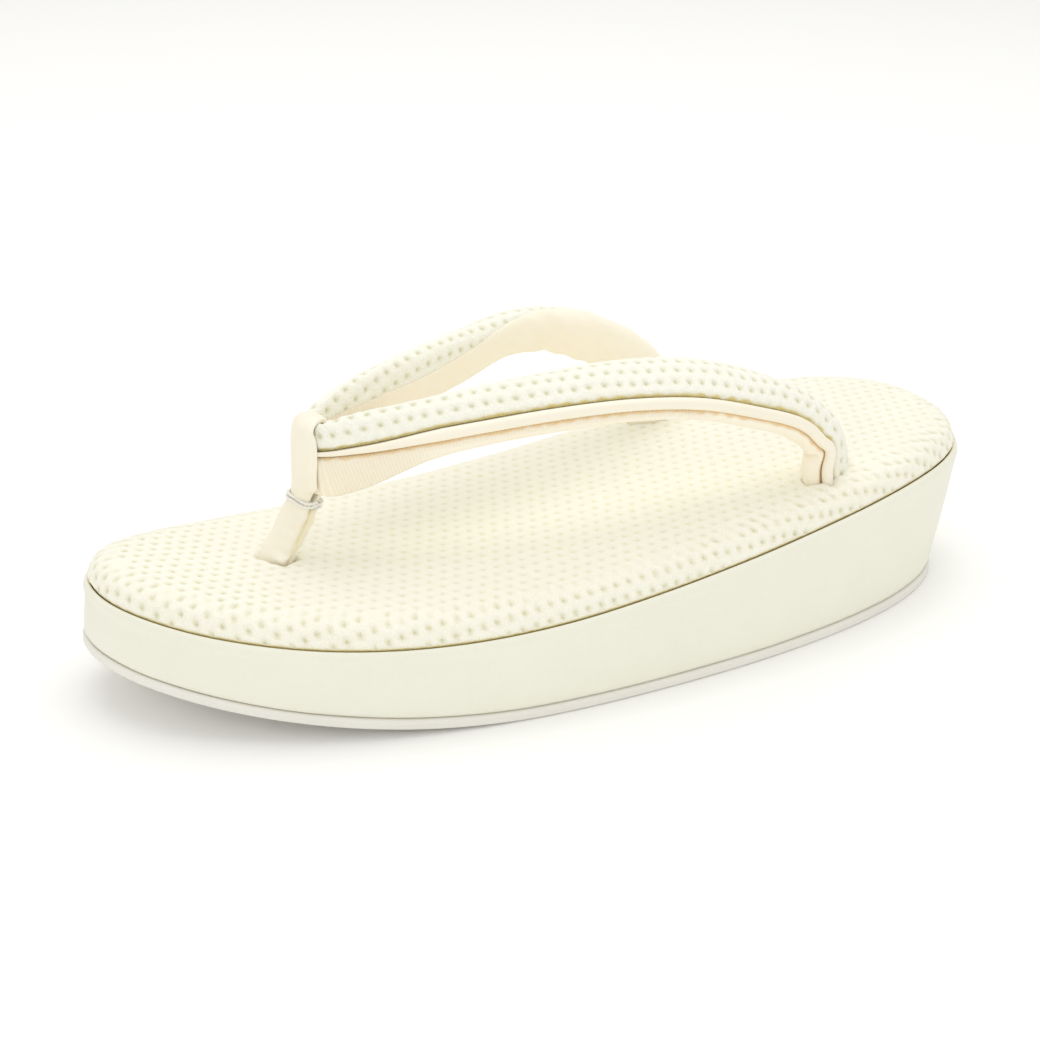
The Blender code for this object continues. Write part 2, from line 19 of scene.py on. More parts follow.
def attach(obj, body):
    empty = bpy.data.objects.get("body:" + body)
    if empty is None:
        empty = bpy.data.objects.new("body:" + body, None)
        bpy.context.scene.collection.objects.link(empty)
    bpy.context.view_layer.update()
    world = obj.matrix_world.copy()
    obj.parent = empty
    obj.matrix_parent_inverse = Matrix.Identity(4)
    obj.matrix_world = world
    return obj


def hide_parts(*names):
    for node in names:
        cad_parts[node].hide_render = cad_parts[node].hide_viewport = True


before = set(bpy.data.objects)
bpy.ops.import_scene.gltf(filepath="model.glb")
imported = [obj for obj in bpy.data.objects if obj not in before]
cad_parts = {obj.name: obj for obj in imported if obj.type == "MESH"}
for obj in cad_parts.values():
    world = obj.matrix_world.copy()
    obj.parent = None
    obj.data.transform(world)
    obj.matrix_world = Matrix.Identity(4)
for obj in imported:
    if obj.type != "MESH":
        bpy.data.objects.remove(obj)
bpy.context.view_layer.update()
print("nodes:", ", ".join(sorted(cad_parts)))

# %% [markdown]
# ## Sizes
#
# All lengths are in millimetres. The sandal points its toe towards -Y, and its
# outer side is +X. A row of a table is one section of the real piece, the way a
# pattern maker would note it down: a few chosen places, and a smooth curve
# between them.

# %% Sizes of the sole
MM = 0.001
LENGTH = 240.0
WIDTH = 91.0
TOE_ROUNDNESS = 2.21
HEEL_ROUNDNESS = 2.41
TAPER = (-0.053, 0.067, 0.083)
BOW, BOW_MEAN = -9.0, 0.4
BOW_TWIST, TWIST_MEAN = 3.2, 0.6
OUTSOLE_THICK = 2.7
OUTSOLE_PROUD = 0.3
TOE_SPRING = 12.5
SPRING_START = 24.0
SEAT_GAP = 0.3
LEAN_SIDE, LEAN_TOE, LEAN_HEEL = 1.1, -0.6, 6.4
WRAP_THICK = 1.9
TOE_SHIFT = (OUTSOLE_PROUD - LEAN_TOE) / 2
SEAM_ANGLE, SEAM_HALF = 196.0, 0.07
SEAM_STEP, SEAM_FADE = 0.5, 16.0
ANGLE_STEP = 0.5

RIM_TABLE = np.array((
    # y, rim height
    (-120.0, 28.8), (-100.0, 25.4), (-76.0, 22.9), (-50.0, 22.2), (-24.0, 23.2),
    (0.0, 25.4), (30.0, 28.9), (58.0, 32.2), (90.0, 35.0), (120.0, 35.6),
))
LIP_TABLE = np.array((
    # inset, height from the rim
    (0.40, -3.6), (0.00, -2.2), (0.25, -0.7), (0.95, 0.0), (1.65, -0.5), (1.90, -1.8),
))
COVER_TABLE = np.array((
    # inset, height from the rim
    (2.30, -1.5), (2.30, -0.4), (1.75, 0.9), (1.85, 2.4), (2.75, 4.3), (4.70, 5.8),
    (8.80, 6.8),
))
COVER_CROWN = 0.5

# %% Sizes of the straps
OUTER_ARM = (
    # x, y, z, yaw, tilt, half width, half thickness, piping angle, seam angle
    (3.4, -65.6, 55.2, 52.0, 3.0, 8.3, 2.3, 18.0, 120.0),
    (5.2, -63.6, 55.8, 33.0, 4.0, 8.9, 2.5, 15.0, 120.0),
    (8.9, -56.9, 58.5, 25.0, 9.0, 8.7, 3.1, 5.0, 120.0),
    (13.6, -43.6, 62.8, 18.0, 22.0, 7.1, 3.9, -14.0, 116.0),
    (17.8, -28.5, 65.9, 13.0, 36.0, 7.1, 4.5, -31.0, 110.0),
    (21.3, -12.1, 67.7, 10.0, 49.0, 7.6, 4.8, -42.0, 104.0),
    (23.9, 4.8, 68.6, 7.0, 57.0, 8.4, 4.9, -51.0, 98.0),
    (25.7, 21.6, 67.2, 5.0, 58.0, 8.7, 4.9, -54.0, 92.0),
    (26.8, 37.3, 62.8, 3.0, 52.0, 8.1, 4.8, -50.0, 86.0),
    (27.4, 51.1, 57.1, 1.0, 42.0, 6.9, 4.7, -43.0, 82.0),
    (27.9, 59.9, 49.7, 0.0, 30.0, 6.9, 4.3, -35.0, 80.0),
    (28.4, 62.1, 41.2, 0.0, 20.0, 7.8, 3.8, -28.0, 80.0),
    (28.6, 62.0, 31.0, 0.0, 18.0, 7.9, 3.6, -26.0, 80.0),
)
INNER_ARM = (
    # x, y, z, yaw, tilt, half width, half thickness, piping angle, seam angle
    (-3.4, -65.6, 55.2, 128.0, 3.0, 8.3, 2.3, 18.0, 131.0),
    (-5.2, -63.6, 55.9, 147.0, 4.0, 9.0, 2.5, 15.0, 140.0),
    (-8.7, -57.6, 58.1, 155.0, 7.0, 9.2, 3.1, 5.0, 150.0),
    (-13.2, -45.6, 60.9, 162.0, 15.0, 9.6, 3.9, -12.0, 155.0),
    (-17.4, -31.6, 63.7, 167.0, 25.0, 9.7, 4.5, -25.0, 152.0),
    (-20.9, -17.0, 66.4, 170.0, 32.0, 9.3, 4.8, -30.0, 134.0),
    (-23.8, -2.6, 69.5, 173.0, 39.0, 7.1, 4.9, -50.0, 99.0),
    (-25.8, 11.4, 68.4, 175.0, 38.0, 6.8, 4.9, -47.0, 68.0),
    (-27.0, 24.4, 63.6, 177.0, 32.0, 7.2, 4.8, -44.0, 56.0),
    (-27.7, 35.6, 57.2, 179.0, 26.0, 6.8, 4.7, -40.0, 58.0),
    (-28.2, 42.6, 49.4, 180.0, 20.0, 6.5, 4.3, -34.0, 62.0),
    (-29.2, 45.4, 41.0, 180.0, 14.0, 6.8, 3.8, -28.0, 66.0),
    (-29.8, 46.0, 31.0, 180.0, 14.0, 7.0, 3.6, -26.0, 66.0),
)
STRAP_TIP = (0.0, -66.6, 55.2, 90.0, 2.0, 8.2, 2.2, 19.0, 123.0)
STRAP_ROWS = np.array(OUTER_ARM[::-1] + (STRAP_TIP,) + INNER_ARM)
SHELL = 1.4
GAP = 0.3
PIPING_RADIUS = 1.4
PIPING_THIN = 0.35
PIPING_THIN_Y, PIPING_FULL_Y = -64.0, -40.0

# %% Sizes of the front loop
LOOP_TABLE = np.array((
    # x, y, z, width, thickness, bulge, twist
    (-3.2, -73.6, 19.2, 7.2, 1.9, 0.2, 30.0), (-3.1, -73.1, 29.4, 7.2, 1.9, 0.2, 30.0),
    (-2.8, -70.4, 34.8, 7.2, 1.8, 0.2, 28.0), (-1.8, -67.0, 41.6, 6.2, 1.6, 0.1, 20.0),
    (-0.7, -65.9, 44.8, 4.6, 1.3, 0.0, 10.0), (0.0, -62.7, 49.0, 3.6, 1.3, 0.0, 0.0),
    (0.0, -62.2, 57.0, 3.6, 1.3, 0.0, 0.0), (0.0, -62.4, 62.4, 3.6, 1.3, 0.0, 0.0),
    (0.0, -63.7, 64.7, 4.6, 1.3, 0.1, 0.0), (0.0, -66.6, 65.2, 8.2, 1.3, 0.3, 0.0),
    (0.0, -69.2, 63.8, 11.4, 1.3, 1.6, 0.0), (0.0, -70.2, 60.2, 12.2, 1.3, 2.8, 0.0),
    (0.0, -70.3, 56.0, 12.2, 1.3, 2.9, 0.0), (0.0, -70.2, 51.6, 11.9, 1.3, 2.6, 0.0),
    (0.0, -70.0, 48.4, 11.2, 1.3, 2.2, -4.0), (-0.9, -69.3, 45.2, 6.8, 1.5, 0.5, -18.0),
    (-1.7, -70.2, 41.6, 7.4, 1.8, 0.3, -26.0), (-2.3, -73.0, 35.4, 7.5, 1.8, 0.3, -28.0),
    (-2.6, -76.0, 29.4, 7.5, 1.9, 0.3, -30.0), (-2.6, -76.6, 19.2, 7.3, 1.9, 0.3, -30.0),
))
HOLE_CENTRE = (-2.75, -74.6)
HOLE_HALF = (4.55, 3.3)
HOLE_TWIST = math.radians(30.0)

# %% [markdown]
# ## Curves
#
# A smooth curve through a short table is the workhorse here. `through` reads a
# table at any fractional row number, so a strap with 27 sections can be cut
# into hundreds of fine ones. The outline of the sole is a superellipse,
# an oval whose ends can be made blunter, bent a little to follow the foot.

# %% Curve helpers
def hermite(t, start, slope_in, end, slope_out):
    """Cubic from one value to the next, with the slopes that it has at both."""
    return ((2 * t ** 3 - 3 * t ** 2 + 1) * start + (t ** 3 - 2 * t ** 2 + t) * slope_in
            + (3 * t ** 2 - 2 * t ** 3) * end + (t ** 3 - t ** 2) * slope_out)


def through(rows, place):
    """Values of a table at fractional row numbers, smooth through every row."""
    last = len(rows) - 1
    place = np.clip(np.asarray(place, float), 0, last)
    index = np.minimum(place.astype(int), last - 1)
    t = (place - index)[..., None]
    before = rows[np.maximum(index - 1, 0)]
    start, end = rows[index], rows[index + 1]
    after = rows[np.minimum(index + 2, last)]
    return hermite(t, start, (end - before) / 2, end, (after - start) / 2)


def rim_height(y):
    """Height of the rim, where cover and side meet, at a distance along the sole."""
    ys, zs = RIM_TABLE.T
    rise = np.empty(len(ys))
    rise[1:-1] = (zs[2:] - zs[:-2]) / (ys[2:] - ys[:-2])
    rise[0] = (zs[1] - zs[0]) / (ys[1] - ys[0])
    rise[-1] = (zs[-1] - zs[-2]) / (ys[-1] - ys[-2])
    y = np.clip(y, ys[0], ys[-1])
    index = np.clip(np.searchsorted(ys, y) - 1, 0, len(ys) - 2)
    span = ys[index + 1] - ys[index]
    t = (y - ys[index]) / span
    return hermite(t, zs[index], span * rise[index], zs[index + 1], span * rise[index + 1])


def floor_height(y):
    """Height of the underside: flat, then rising towards the toe."""
    rise = np.maximum(0.0, -y - SPRING_START) / (LENGTH / 2 - SPRING_START)
    return TOE_SPRING * rise ** 2


def signed_power(value, power):
    """Power of a number that keeps its sign."""
    return np.sign(value) * np.abs(value) ** power


def outline(angle, side=0.0, toe=0.0, heel=0.0):
    """Points of the footprint at angles (0 heel, 180 toe), moved in by insets."""
    c = np.cos(np.radians(angle))
    s = np.sin(np.radians(angle))
    s = np.where(np.abs(s) < 1e-9, 0.0, s)
    blunt = np.where(c > 0, HEEL_ROUNDNESS, TOE_ROUNDNESS)
    u = signed_power(c, 2 / blunt)
    v = signed_power(s, 2 / blunt)
    spread = 1 + TAPER[0] * u + TAPER[1] * u ** 2 + TAPER[2] * u ** 3
    middle = BOW * (u ** 2 - BOW_MEAN) + BOW_TWIST * (u ** 3 - TWIST_MEAN * u)
    x = v * (WIDTH / 2 * spread - side) + middle
    y = u * (LENGTH / 2 - np.where(c > 0, heel, toe))
    return x, y


sole_angles = np.arange(0, 360, ANGLE_STEP)
sole_x = outline(sole_angles)[0]
AXIS_SHIFT = (sole_x.min() + sole_x.max()) / 2
print(f"the outline's middle lies {AXIS_SHIFT:.2f} mm to one side")

# %% [markdown]
# ## From points to a mesh
#
# Nearly every piece is a skin over a grid of points: rows that follow the
# piece, columns that go round it. One function makes them all. It can also
# store a named number on each point, which the finishes read later, such as
# the painted shade in and round a dimple, where it is along the cloth or how
# much painted warm shade lies along a seam.

# %% Mesh helper
def grid_faces(rows, columns, close_rows, close_columns):
    """Corner numbers of the quads of a grid, which may join up with itself."""
    i = np.arange(rows if close_rows else rows - 1)
    j = np.arange(columns if close_columns else columns - 1)
    i, j = (a.ravel() for a in np.meshgrid(i, j, indexing="ij"))
    down, right = (i + 1) % rows, (j + 1) % columns
    return np.stack([i * columns + j, i * columns + right,
                     down * columns + right, down * columns + j], axis=1)


def add_object(name, data):
    """A new object in the scene."""
    made = bpy.data.objects.new(name, data)
    bpy.context.scene.collection.objects.link(made)
    return made


def make_piece(name, points, faces, surface, facts=None):
    """A smooth-shaded object from points in millimetres, with named numbers."""
    spots = np.asarray(points, float).reshape(-1, 3)
    spots = (spots - (AXIS_SHIFT, -TOE_SHIFT, 0.0)) * MM
    mesh = bpy.data.meshes.new(name)
    corners = [list(map(int, face)) for face in faces]
    mesh.from_pydata(spots.tolist(), [], corners)
    for key, values in (facts or {}).items():
        values = np.asarray(values, np.float32)
        wide = values.size == 3 * len(spots)
        kind, field = ("FLOAT_VECTOR", "vector") if wide else ("FLOAT", "value")
        layer = mesh.attributes.new(key, kind, "POINT")
        layer.data.foreach_set(field, values.ravel())
    work = bmesh.new()
    work.from_mesh(mesh)
    bmesh.ops.recalc_face_normals(work, faces=work.faces)
    work.to_mesh(mesh)
    work.free()
    mesh.materials.append(surface)
    mesh.shade_smooth()
    piece = add_object(name, mesh)
    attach(piece, "root")
    print(f"{name}: {sum(len(c) - 2 for c in corners)} triangles")
    return piece


def make_tube(name, grid, surface, facts=None):
    """A piece from rings of points, with a flat face at each end."""
    rows, columns = grid.shape[:2]
    faces = [*grid_faces(rows, columns, False, True),
             range(columns), range((rows - 1) * columns, rows * columns)]
    return make_piece(name, grid, faces, surface, facts)


def unit(vectors):
    """The same directions with a length of 1."""
    return vectors / np.maximum(np.linalg.norm(vectors, axis=-1, keepdims=True), 1e-9)


# %% [markdown]
# ## Small irregularities
#
# Hand work is never perfectly even. A few sine waves added together give a soft
# unevenness that comes out the same on every run. Dimples of a cloth lie on a
# lattice whose every second row is moved on by half a step, like bricks.

# %% Unevenness and dimples
WAVES, WAVES_PEAK = 7, 3.2


def drift(a, b, size, seed):
    """Smooth unevenness between about -1 and 1, with bumps of a given size."""
    dice = np.random.default_rng(seed)
    total = np.zeros(np.broadcast(a, b).shape)
    for _ in range(WAVES):
        turn = dice.uniform(0, 2 * math.pi)
        pace = 2 * math.pi / (size * dice.uniform(0.7, 1.6))
        total += np.sin((a * math.cos(turn) + b * math.sin(turn)) * pace
                        + dice.uniform(0, 2 * math.pi))
    return total / WAVES_PEAK


def dimple_distance(a, b, step_a, step_b):
    """Distance to the nearest dimple, for columns step_a apart, half a step out."""
    nearest = np.full(np.broadcast(a, b).shape, 1e9)
    base = np.floor(a / step_a)
    for extra in (0, 1):
        column = base + extra
        stagger = np.where(np.mod(column, 2) == 1, 0.5, 0.0)
        row = np.round(b / step_b - stagger) + stagger
        nearest = np.minimum(nearest, np.hypot(a - column * step_a, b - row * step_b))
    return nearest


def smooth(value, low, high):
    """0 below low, 1 above high, and a soft step between."""
    t = np.clip((value - low) / (high - low), 0, 1)
    return t * t * (3 - 2 * t)


# %% [markdown]
# ## Words for finishes
#
# Blender builds a material out of nodes and links, which is tiresome to write
# one by one. The class below wraps the output of a node, so that `1 - mask` or
# `grain * 0.4 + weave` writes the Math nodes by itself. Every other node is
# made by one method, which takes its type, its settings and its inputs.

# %% Shader arithmetic
class Field:
    """A number that varies over a surface, with arithmetic that makes Math nodes."""

    def __init__(self, finish, socket):
        self.finish = finish
        self.socket = socket

    def math(self, operation, first, second):
        return self.finish.node("ShaderNodeMath", {"operation": operation},
                                {0: first, 1: second})

    def __add__(self, other):
        return self.math("ADD", self, other)

    def __mul__(self, other):
        return self.math("MULTIPLY", self, other)

    def __sub__(self, other):
        return self.math("SUBTRACT", self, other)

    def __rsub__(self, other):
        return self.math("SUBTRACT", other, self)

    __radd__ = __add__
    __rmul__ = __mul__


class Finish:
    """One material, with a short way to add nodes to it."""

    def __init__(self, name):
        self.material = bpy.data.materials.new(name)
        self.material.use_nodes = True
        self.tree = self.material.node_tree
        self.shader = self.tree.nodes["Principled BSDF"]

    def set(self, **values):
        """Plain values of the shader, with _ for a space in a socket's name."""
        for key, value in values.items():
            self.shader.inputs[key.replace("_", " ")].default_value = value

    def node(self, kind, settings=None, inputs=None, output=0):
        made = self.tree.nodes.new(kind)
        for key, value in (settings or {}).items():
            setattr(made, key, value)
        for key, value in (inputs or {}).items():
            if isinstance(value, Field):
                self.tree.links.new(value.socket, made.inputs[key])
            else:
                made.inputs[key].default_value = value
        return Field(self, made.outputs[output])

    def stored(self, name, output="Fac"):
        """A number, or with output Vector three numbers, stored on the mesh."""
        return self.node("ShaderNodeAttribute", {"attribute_name": name}, output=output)

    def place(self):
        """Position on the object in millimetres."""
        spot = self.node("ShaderNodeTexCoord", output="Object")
        return self.node("ShaderNodeVectorMath", {"operation": "SCALE"},
                         {0: spot, "Scale": 1 / MM})

    def noise(self, where, size, detail=2.0):
        """Cloudy noise from 0 to 1 with spots of a size in millimetres."""
        return self.node("ShaderNodeTexNoise", inputs={
            "Vector": where, "Scale": 1 / size, "Detail": detail})

    def cells(self, where, size):
        """Distance to the nearest of scattered points about a size apart."""
        return self.node("ShaderNodeTexVoronoi", inputs={
            "Vector": where, "Scale": 1 / size}, output="Distance")

    def part(self, where, axis):
        """One number out of three."""
        return self.node("ShaderNodeSeparateXYZ", inputs={0: where}, output=axis)

    def wave(self, along, period):
        """Sine wave from 0 to 1 with a period in the units of its input."""
        turned = along * (2 * math.pi / period)
        return self.node("ShaderNodeMath", {"operation": "SINE"}, {0: turned}) * 0.5 + 0.5

    def blend(self, share, first, second):
        """Colour between two, by a share from 0 to 1."""
        return self.node("ShaderNodeMix", {"data_type": "RGBA"},
                         {0: share, 6: first, 7: second}, output=2)

    def wear(self, colour, rough, height=None, depth=0.1):
        """Connect colour and roughness, and a height in millimetres as bump."""
        for socket, value in (("Base Color", colour), ("Roughness", rough)):
            if isinstance(value, Field):
                self.tree.links.new(value.socket, self.shader.inputs[socket])
            else:
                self.shader.inputs[socket].default_value = value
        if height is not None:
            bump = self.node("ShaderNodeBump", inputs={
                "Strength": 1.0, "Distance": depth * MM, "Height": height}, output="Normal")
            self.tree.links.new(bump.socket, self.shader.inputs["Normal"])
        return self.material


def paint(red, green, blue):
    """Colour as a screen shows it (0 to 255), turned into light values."""
    def light(value):
        value /= 255
        return value / 12.92 if value <= 0.04045 else ((value + 0.055) / 1.055) ** 2.4
    return (light(red), light(green), light(blue), 1.0)


# %% [markdown]
# ## Leather
#
# The side band, the piping and the loop are thin garment leather in cream. Real
# grain is a net of tiny plates with creases between them, which scattered cells
# copy well. It is very shallow here, because the leather is stretched tight.
# Seams and grooves get painted warm shade: a golden tint stands for the
# light that bounces about in a narrow seam.

# %% Leather finishes
CLOUD_SIZE = 14.0
PORE_SHARE = 0.45
SEAM_SHADE_GOLD = paint(226, 208, 128)
SEAM_SHADE_SHARE = 0.9


def leather(name, light, dark, rough, plate, depth):
    """Cream leather with plates of a size in millimetres."""
    finish = Finish(name)
    spot = finish.place()
    cloud = finish.noise(spot, CLOUD_SIZE, 3.0)
    grain = finish.cells(spot, plate)
    pores = finish.noise(spot, plate * PORE_SHARE, 3.0)
    colour = finish.blend(cloud * 0.75 + grain * 0.25, light, dark)
    # painted warm shade in seams and grooves, by the stored seam number
    colour = finish.blend(finish.stored("seam") * SEAM_SHADE_SHARE, colour, SEAM_SHADE_GOLD)
    sheen = cloud * 0.10 + pores * 0.08 + (rough - 0.09)
    finish.set(Specular_IOR_Level=0.42)
    return finish.wear(colour, sheen, grain * 0.7 + pores * 0.5, depth)


wrap_leather = leather("wrap_leather_cream", paint(243, 242, 228), paint(237, 236, 220),
                       0.46, 0.85, 0.035)
trim_leather = leather("trim_leather_ivory", paint(253, 248, 232), paint(248, 240, 220),
                       0.38, 0.60, 0.016)
print("leather finishes:", wrap_leather.name, trim_leather.name)

# %% [markdown]
# ## Canvas
#
# The cover and the top of the straps are a thick white cloth woven with small
# dimples. The dimples are real hollows in the mesh. What is left for the
# finish is the thread itself, going over and under, in little puffs. Painted
# shade darkens the cloth deep inside each dimple and between the puffs, and
# painted warm shade runs along its turned edges.

# %% Canvas finish
WEAVE_PITCH, PUFF_SIZE, FUZZ_SIZE = 0.82, 0.8, 0.5
CANVAS_SEAM_SHADE = paint(226, 208, 130)


def canvas(name, light, shade):
    """White cloth with a fine plain weave, read from the stored cloth position."""
    finish = Finish(name)
    spot = finish.place()
    lay = finish.stored("lay", "Vector")
    along, across = finish.part(lay, "X"), finish.part(lay, "Y")
    over = finish.wave(along + across, WEAVE_PITCH)
    under = finish.wave(along - across, WEAVE_PITCH)
    weave = over * under
    puffs = 1 - finish.cells(lay, PUFF_SIZE)
    fuzz = finish.noise(spot, FUZZ_SIZE, 3.0)
    hollow = finish.stored("hollow")
    cloud = finish.noise(spot, 20.0, 2.0)
    # painted shade deep in the dimples and in the gaps between puffs; the cloud is random tone
    tone_and_shade = hollow * 0.64 + cloud * 0.10 + (1 - puffs) * 0.10
    colour = finish.blend(tone_and_shade, light, shade)
    # painted warm shade along the turned edges, by the stored seam number
    colour = finish.blend(finish.stored("seam") * SEAM_SHADE_SHARE, colour, CANVAS_SEAM_SHADE)
    finish.set(Sheen_Weight=0.12, Sheen_Roughness=0.6, Specular_IOR_Level=0.25)
    return finish.wear(colour, cloud * 0.10 + 0.74, puffs * 1.3 + weave * 0.7 + fuzz * 0.4, 0.09)


cover_canvas = canvas("canvas_cover_white", paint(254, 252, 240), paint(210, 204, 152))
strap_canvas = canvas("canvas_strap_white", paint(254, 253, 243), paint(208, 204, 158))
print("canvas finishes:", cover_canvas.name, strap_canvas.name)

# %% [markdown]
# ## Lining, rubber, thread and filling
#
# The underside of the straps is a soft peach cloth, brushed like suede, with
# fine cross ribs where it is gathered. The tread is plain grey-white rubber.
# The foam and the cotton filling are out of sight, yet get a finish too, for
# anyone who takes the sandal apart.

# %% Remaining finishes
NAP_SIZE = 0.45
LINING_SEAM_SHADE = paint(240, 205, 150)


def brushed_lining(name):
    """Soft peach cloth with ribs where the stored number says so."""
    finish = Finish(name)
    spot = finish.place()
    lay = finish.stored("lay", "Vector")
    ribs = finish.wave(finish.part(lay, "X"), WEAVE_PITCH) * finish.stored("ribbed")
    nap = finish.noise(spot, NAP_SIZE, 4.0)
    cloud = finish.noise(spot, 9.0, 3.0)
    # painted shade in the grooves between the ribs; cloud and nap are random tone
    tone_and_shade = cloud * 0.4 + nap * 0.2 + ribs * 0.4
    colour = finish.blend(tone_and_shade, paint(255, 250, 235), paint(249, 234, 206))
    # painted warm shade along the turned edge by the piping
    colour = finish.blend(finish.stored("seam") * 0.8, colour, LINING_SEAM_SHADE)
    finish.set(Sheen_Weight=0.25, Sheen_Roughness=0.5, Specular_IOR_Level=0.2)
    return finish.wear(colour, 0.85, nap * 0.35 + (1 - ribs) * 1.4, 0.09)


def plain(name, light, dark, rough, grain, depth):
    """One quiet material with a fine speckle."""
    finish = Finish(name)
    spot = finish.place()
    speck = finish.noise(spot, grain, 4.0)
    cloud = finish.noise(spot, grain * 30, 2.0)
    colour = finish.blend(speck * 0.5 + cloud * 0.5, light, dark)
    return finish.wear(colour, cloud * 0.1 + (rough - 0.05), speck, depth)


lining_cloth = brushed_lining("lining_peach_brushed")
tread_rubber = plain("tread_rubber_grey_white", paint(243, 241, 234), paint(230, 227, 218),
                     0.62, 0.5, 0.05)
white_thread = plain("thread_white", paint(252, 251, 247), paint(236, 233, 224), 0.6, 0.2, 0.03)
sole_foam = plain("foam_beige", paint(230, 222, 200), paint(210, 200, 176), 0.9, 0.8, 0.2)
cotton = plain("cotton_filling", paint(246, 243, 234), paint(232, 227, 214), 0.95, 0.7, 0.3)
print("finishes:", len(bpy.data.materials))

# %% [markdown]
# ## The outsole
#
# A thin rubber tread closes the sole from below. It lies flat under the heel
# and the ball of the foot and lifts at the toe, so that the wearer rolls
# forward. Its outline follows the foot of the side band and stands out from
# it by a hair, with softly rounded edges.

# %% Outsole
def level_ring(angles, inset, height_of, lean):
    """One ring of the sole at an inset, with its height worked out from y."""
    x, y = outline(angles, inset + lean * LEAN_SIDE, inset + lean * LEAN_TOE,
                   inset + lean * LEAN_HEEL)
    return np.stack([x, y, height_of(y)], axis=-1)


def strips_between(rings, base):
    """Quads that close a ring straight across, from its right to its left side."""
    half = rings // 2
    right = base + np.arange(1, half)
    left = base + rings - np.arange(1, half)
    quads = np.stack([right[:-1], left[:-1], left[1:], right[1:]], axis=1).tolist()
    quads.append([base, right[0], left[0]])
    quads.append([base + half, left[-1], right[-1]])
    return quads


TREAD_PROFILE = (
    # inset from the proud edge, height above the floor line
    (5.0, 0.0), (1.1, 0.0), (0.55, 0.08), (0.18, 0.30), (0.0, 0.70), (0.06, 0.95), (0.06, 1.15),
    (0.0, 1.40), (0.0, 2.20), (0.12, 2.52), (0.45, 2.70), (3.0, 2.70),
)
around_sole = len(sole_angles)
rings = [level_ring(sole_angles, inset - OUTSOLE_PROUD, lambda y, h=h: floor_height(y) + h, 1.0)
         for inset, h in TREAD_PROFILE]
faces = grid_faces(len(rings), around_sole, False, True).tolist()
faces += strips_between(around_sole, 0)
faces += strips_between(around_sole, (len(rings) - 1) * around_sole)
outsole = make_piece("outsole_tread", np.array(rings), faces, tread_rubber)
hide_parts("outsole")

# %% [markdown]
# ## The side band
#
# The band is skived thin and pulled round the wedge, then its two ends overlap
# at the inner front of the toe and are glued down, which leaves a small step.
# Its top edge is rolled over a cord, and that roll catches the light as a
# bright lip. The mesh goes up the wall, over the roll and down inside it.

# %% Side band
def wall_foot(y):
    """Height where the band starts, just above the tread."""
    return floor_height(y) + OUTSOLE_THICK + SEAT_GAP


def wall_height(y, share):
    """Height at a share of the way from the wall's foot up to the lip."""
    low = wall_foot(y)
    return low + share * (rim_height(y) + LIP_TABLE[0, 1] - low)


def seam_offset(angles):
    """How far the upper end of the band stands out past its seam."""
    past = angles - SEAM_ANGLE
    on_top = (past >= 0) & (past <= SEAM_FADE)
    return np.where(on_top, SEAM_STEP * (1 - past / SEAM_FADE), 0.0)


LIP_START, LIP_RINGS = 0.15, 22
WALL_SHARES = np.array((0.0, 0.02, 0.06, 0.14, 0.24, 0.34, 0.44, 0.54, 0.64, 0.74, 0.84, 0.93))
WALL_TUCK, TUCK_END = 0.45, 0.06
WALL_SWELL, WALL_WOBBLE, WALL_FLARE = -0.25, 0.10, 0.4
GROOVE_SHADE_START, GROOVE_SHADE_END = 1.15, 1.45
TOE_SEAM_SHADE, TOE_SEAM_SHADE_HALF = 0.7, 0.30
lip = through(LIP_TABLE, np.linspace(LIP_START, len(LIP_TABLE) - 1, LIP_RINGS))
band_angles = sole_angles[sole_angles != SEAM_ANGLE]
band_angles = np.sort(np.append(band_angles, (SEAM_ANGLE - SEAM_HALF, SEAM_ANGLE + SEAM_HALF)))
out = seam_offset(band_angles)
columns = []
for share in WALL_SHARES:
    tuck = WALL_TUCK * (1 - smooth(share, 0.0, TUCK_END))
    swell = WALL_SWELL * math.sin(math.pi * share)
    wobble = WALL_WOBBLE * drift(band_angles * 1.6, share * 20.0, 26.0, 5)
    inset = WALL_FLARE * share + tuck + swell + wobble - out
    columns.append(level_ring(band_angles, inset, lambda y: wall_height(y, share), 1.0 - share))
for inset, height in lip:
    fade = out * smooth(-height, 0.0, 2.0) * (inset < 1.0)
    columns.append(level_ring(band_angles, inset - fade, lambda y: rim_height(y) + height, 0.0))
columns.append(level_ring(band_angles, WRAP_THICK, wall_foot, 1.0))
band_grid = np.array(columns)
inside_lip = np.concatenate([np.zeros(len(WALL_SHARES)), lip[:, 0], [WRAP_THICK]])
# painted warm shade inside the lip's groove and along the step of the toe seam
seam = (smooth(inside_lip, GROOVE_SHADE_START, GROOVE_SHADE_END)[:, None]
        + TOE_SEAM_SHADE * np.exp(-((band_angles - SEAM_ANGLE) / TOE_SEAM_SHADE_HALF) ** 2))
faces = grid_faces(len(columns), len(band_angles), True, True)
side_band = make_piece("side_wrap_leather", band_grid, faces, wrap_leather, {"seam": seam})
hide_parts("side_wrap")

# %% [markdown]
# ## The straps, cut into fine sections
#
# Both straps are one padded tube that starts in the outer slot, runs up and
# forward, turns round under the front loop and goes back to the inner slot.
# Each section is a flat oval. These arrays hold its middle, its two directions
# and its half sizes at several hundred places an even distance apart. At the
# outer rear end the piping wanders a little, as the leather is bunched there.

# %% Strap sections
STRAP_SPACING = 0.41
LOOK_AHEAD, DENSE_STEPS, ARC_STEPS = 0.02, 6001, 97
BUNCH_MIDDLE, BUNCH_REACH = 17.0, 6.5
BUNCH_START, BUNCH_PACE, BUNCH_TURN = 13.0, 2.3, 7.0


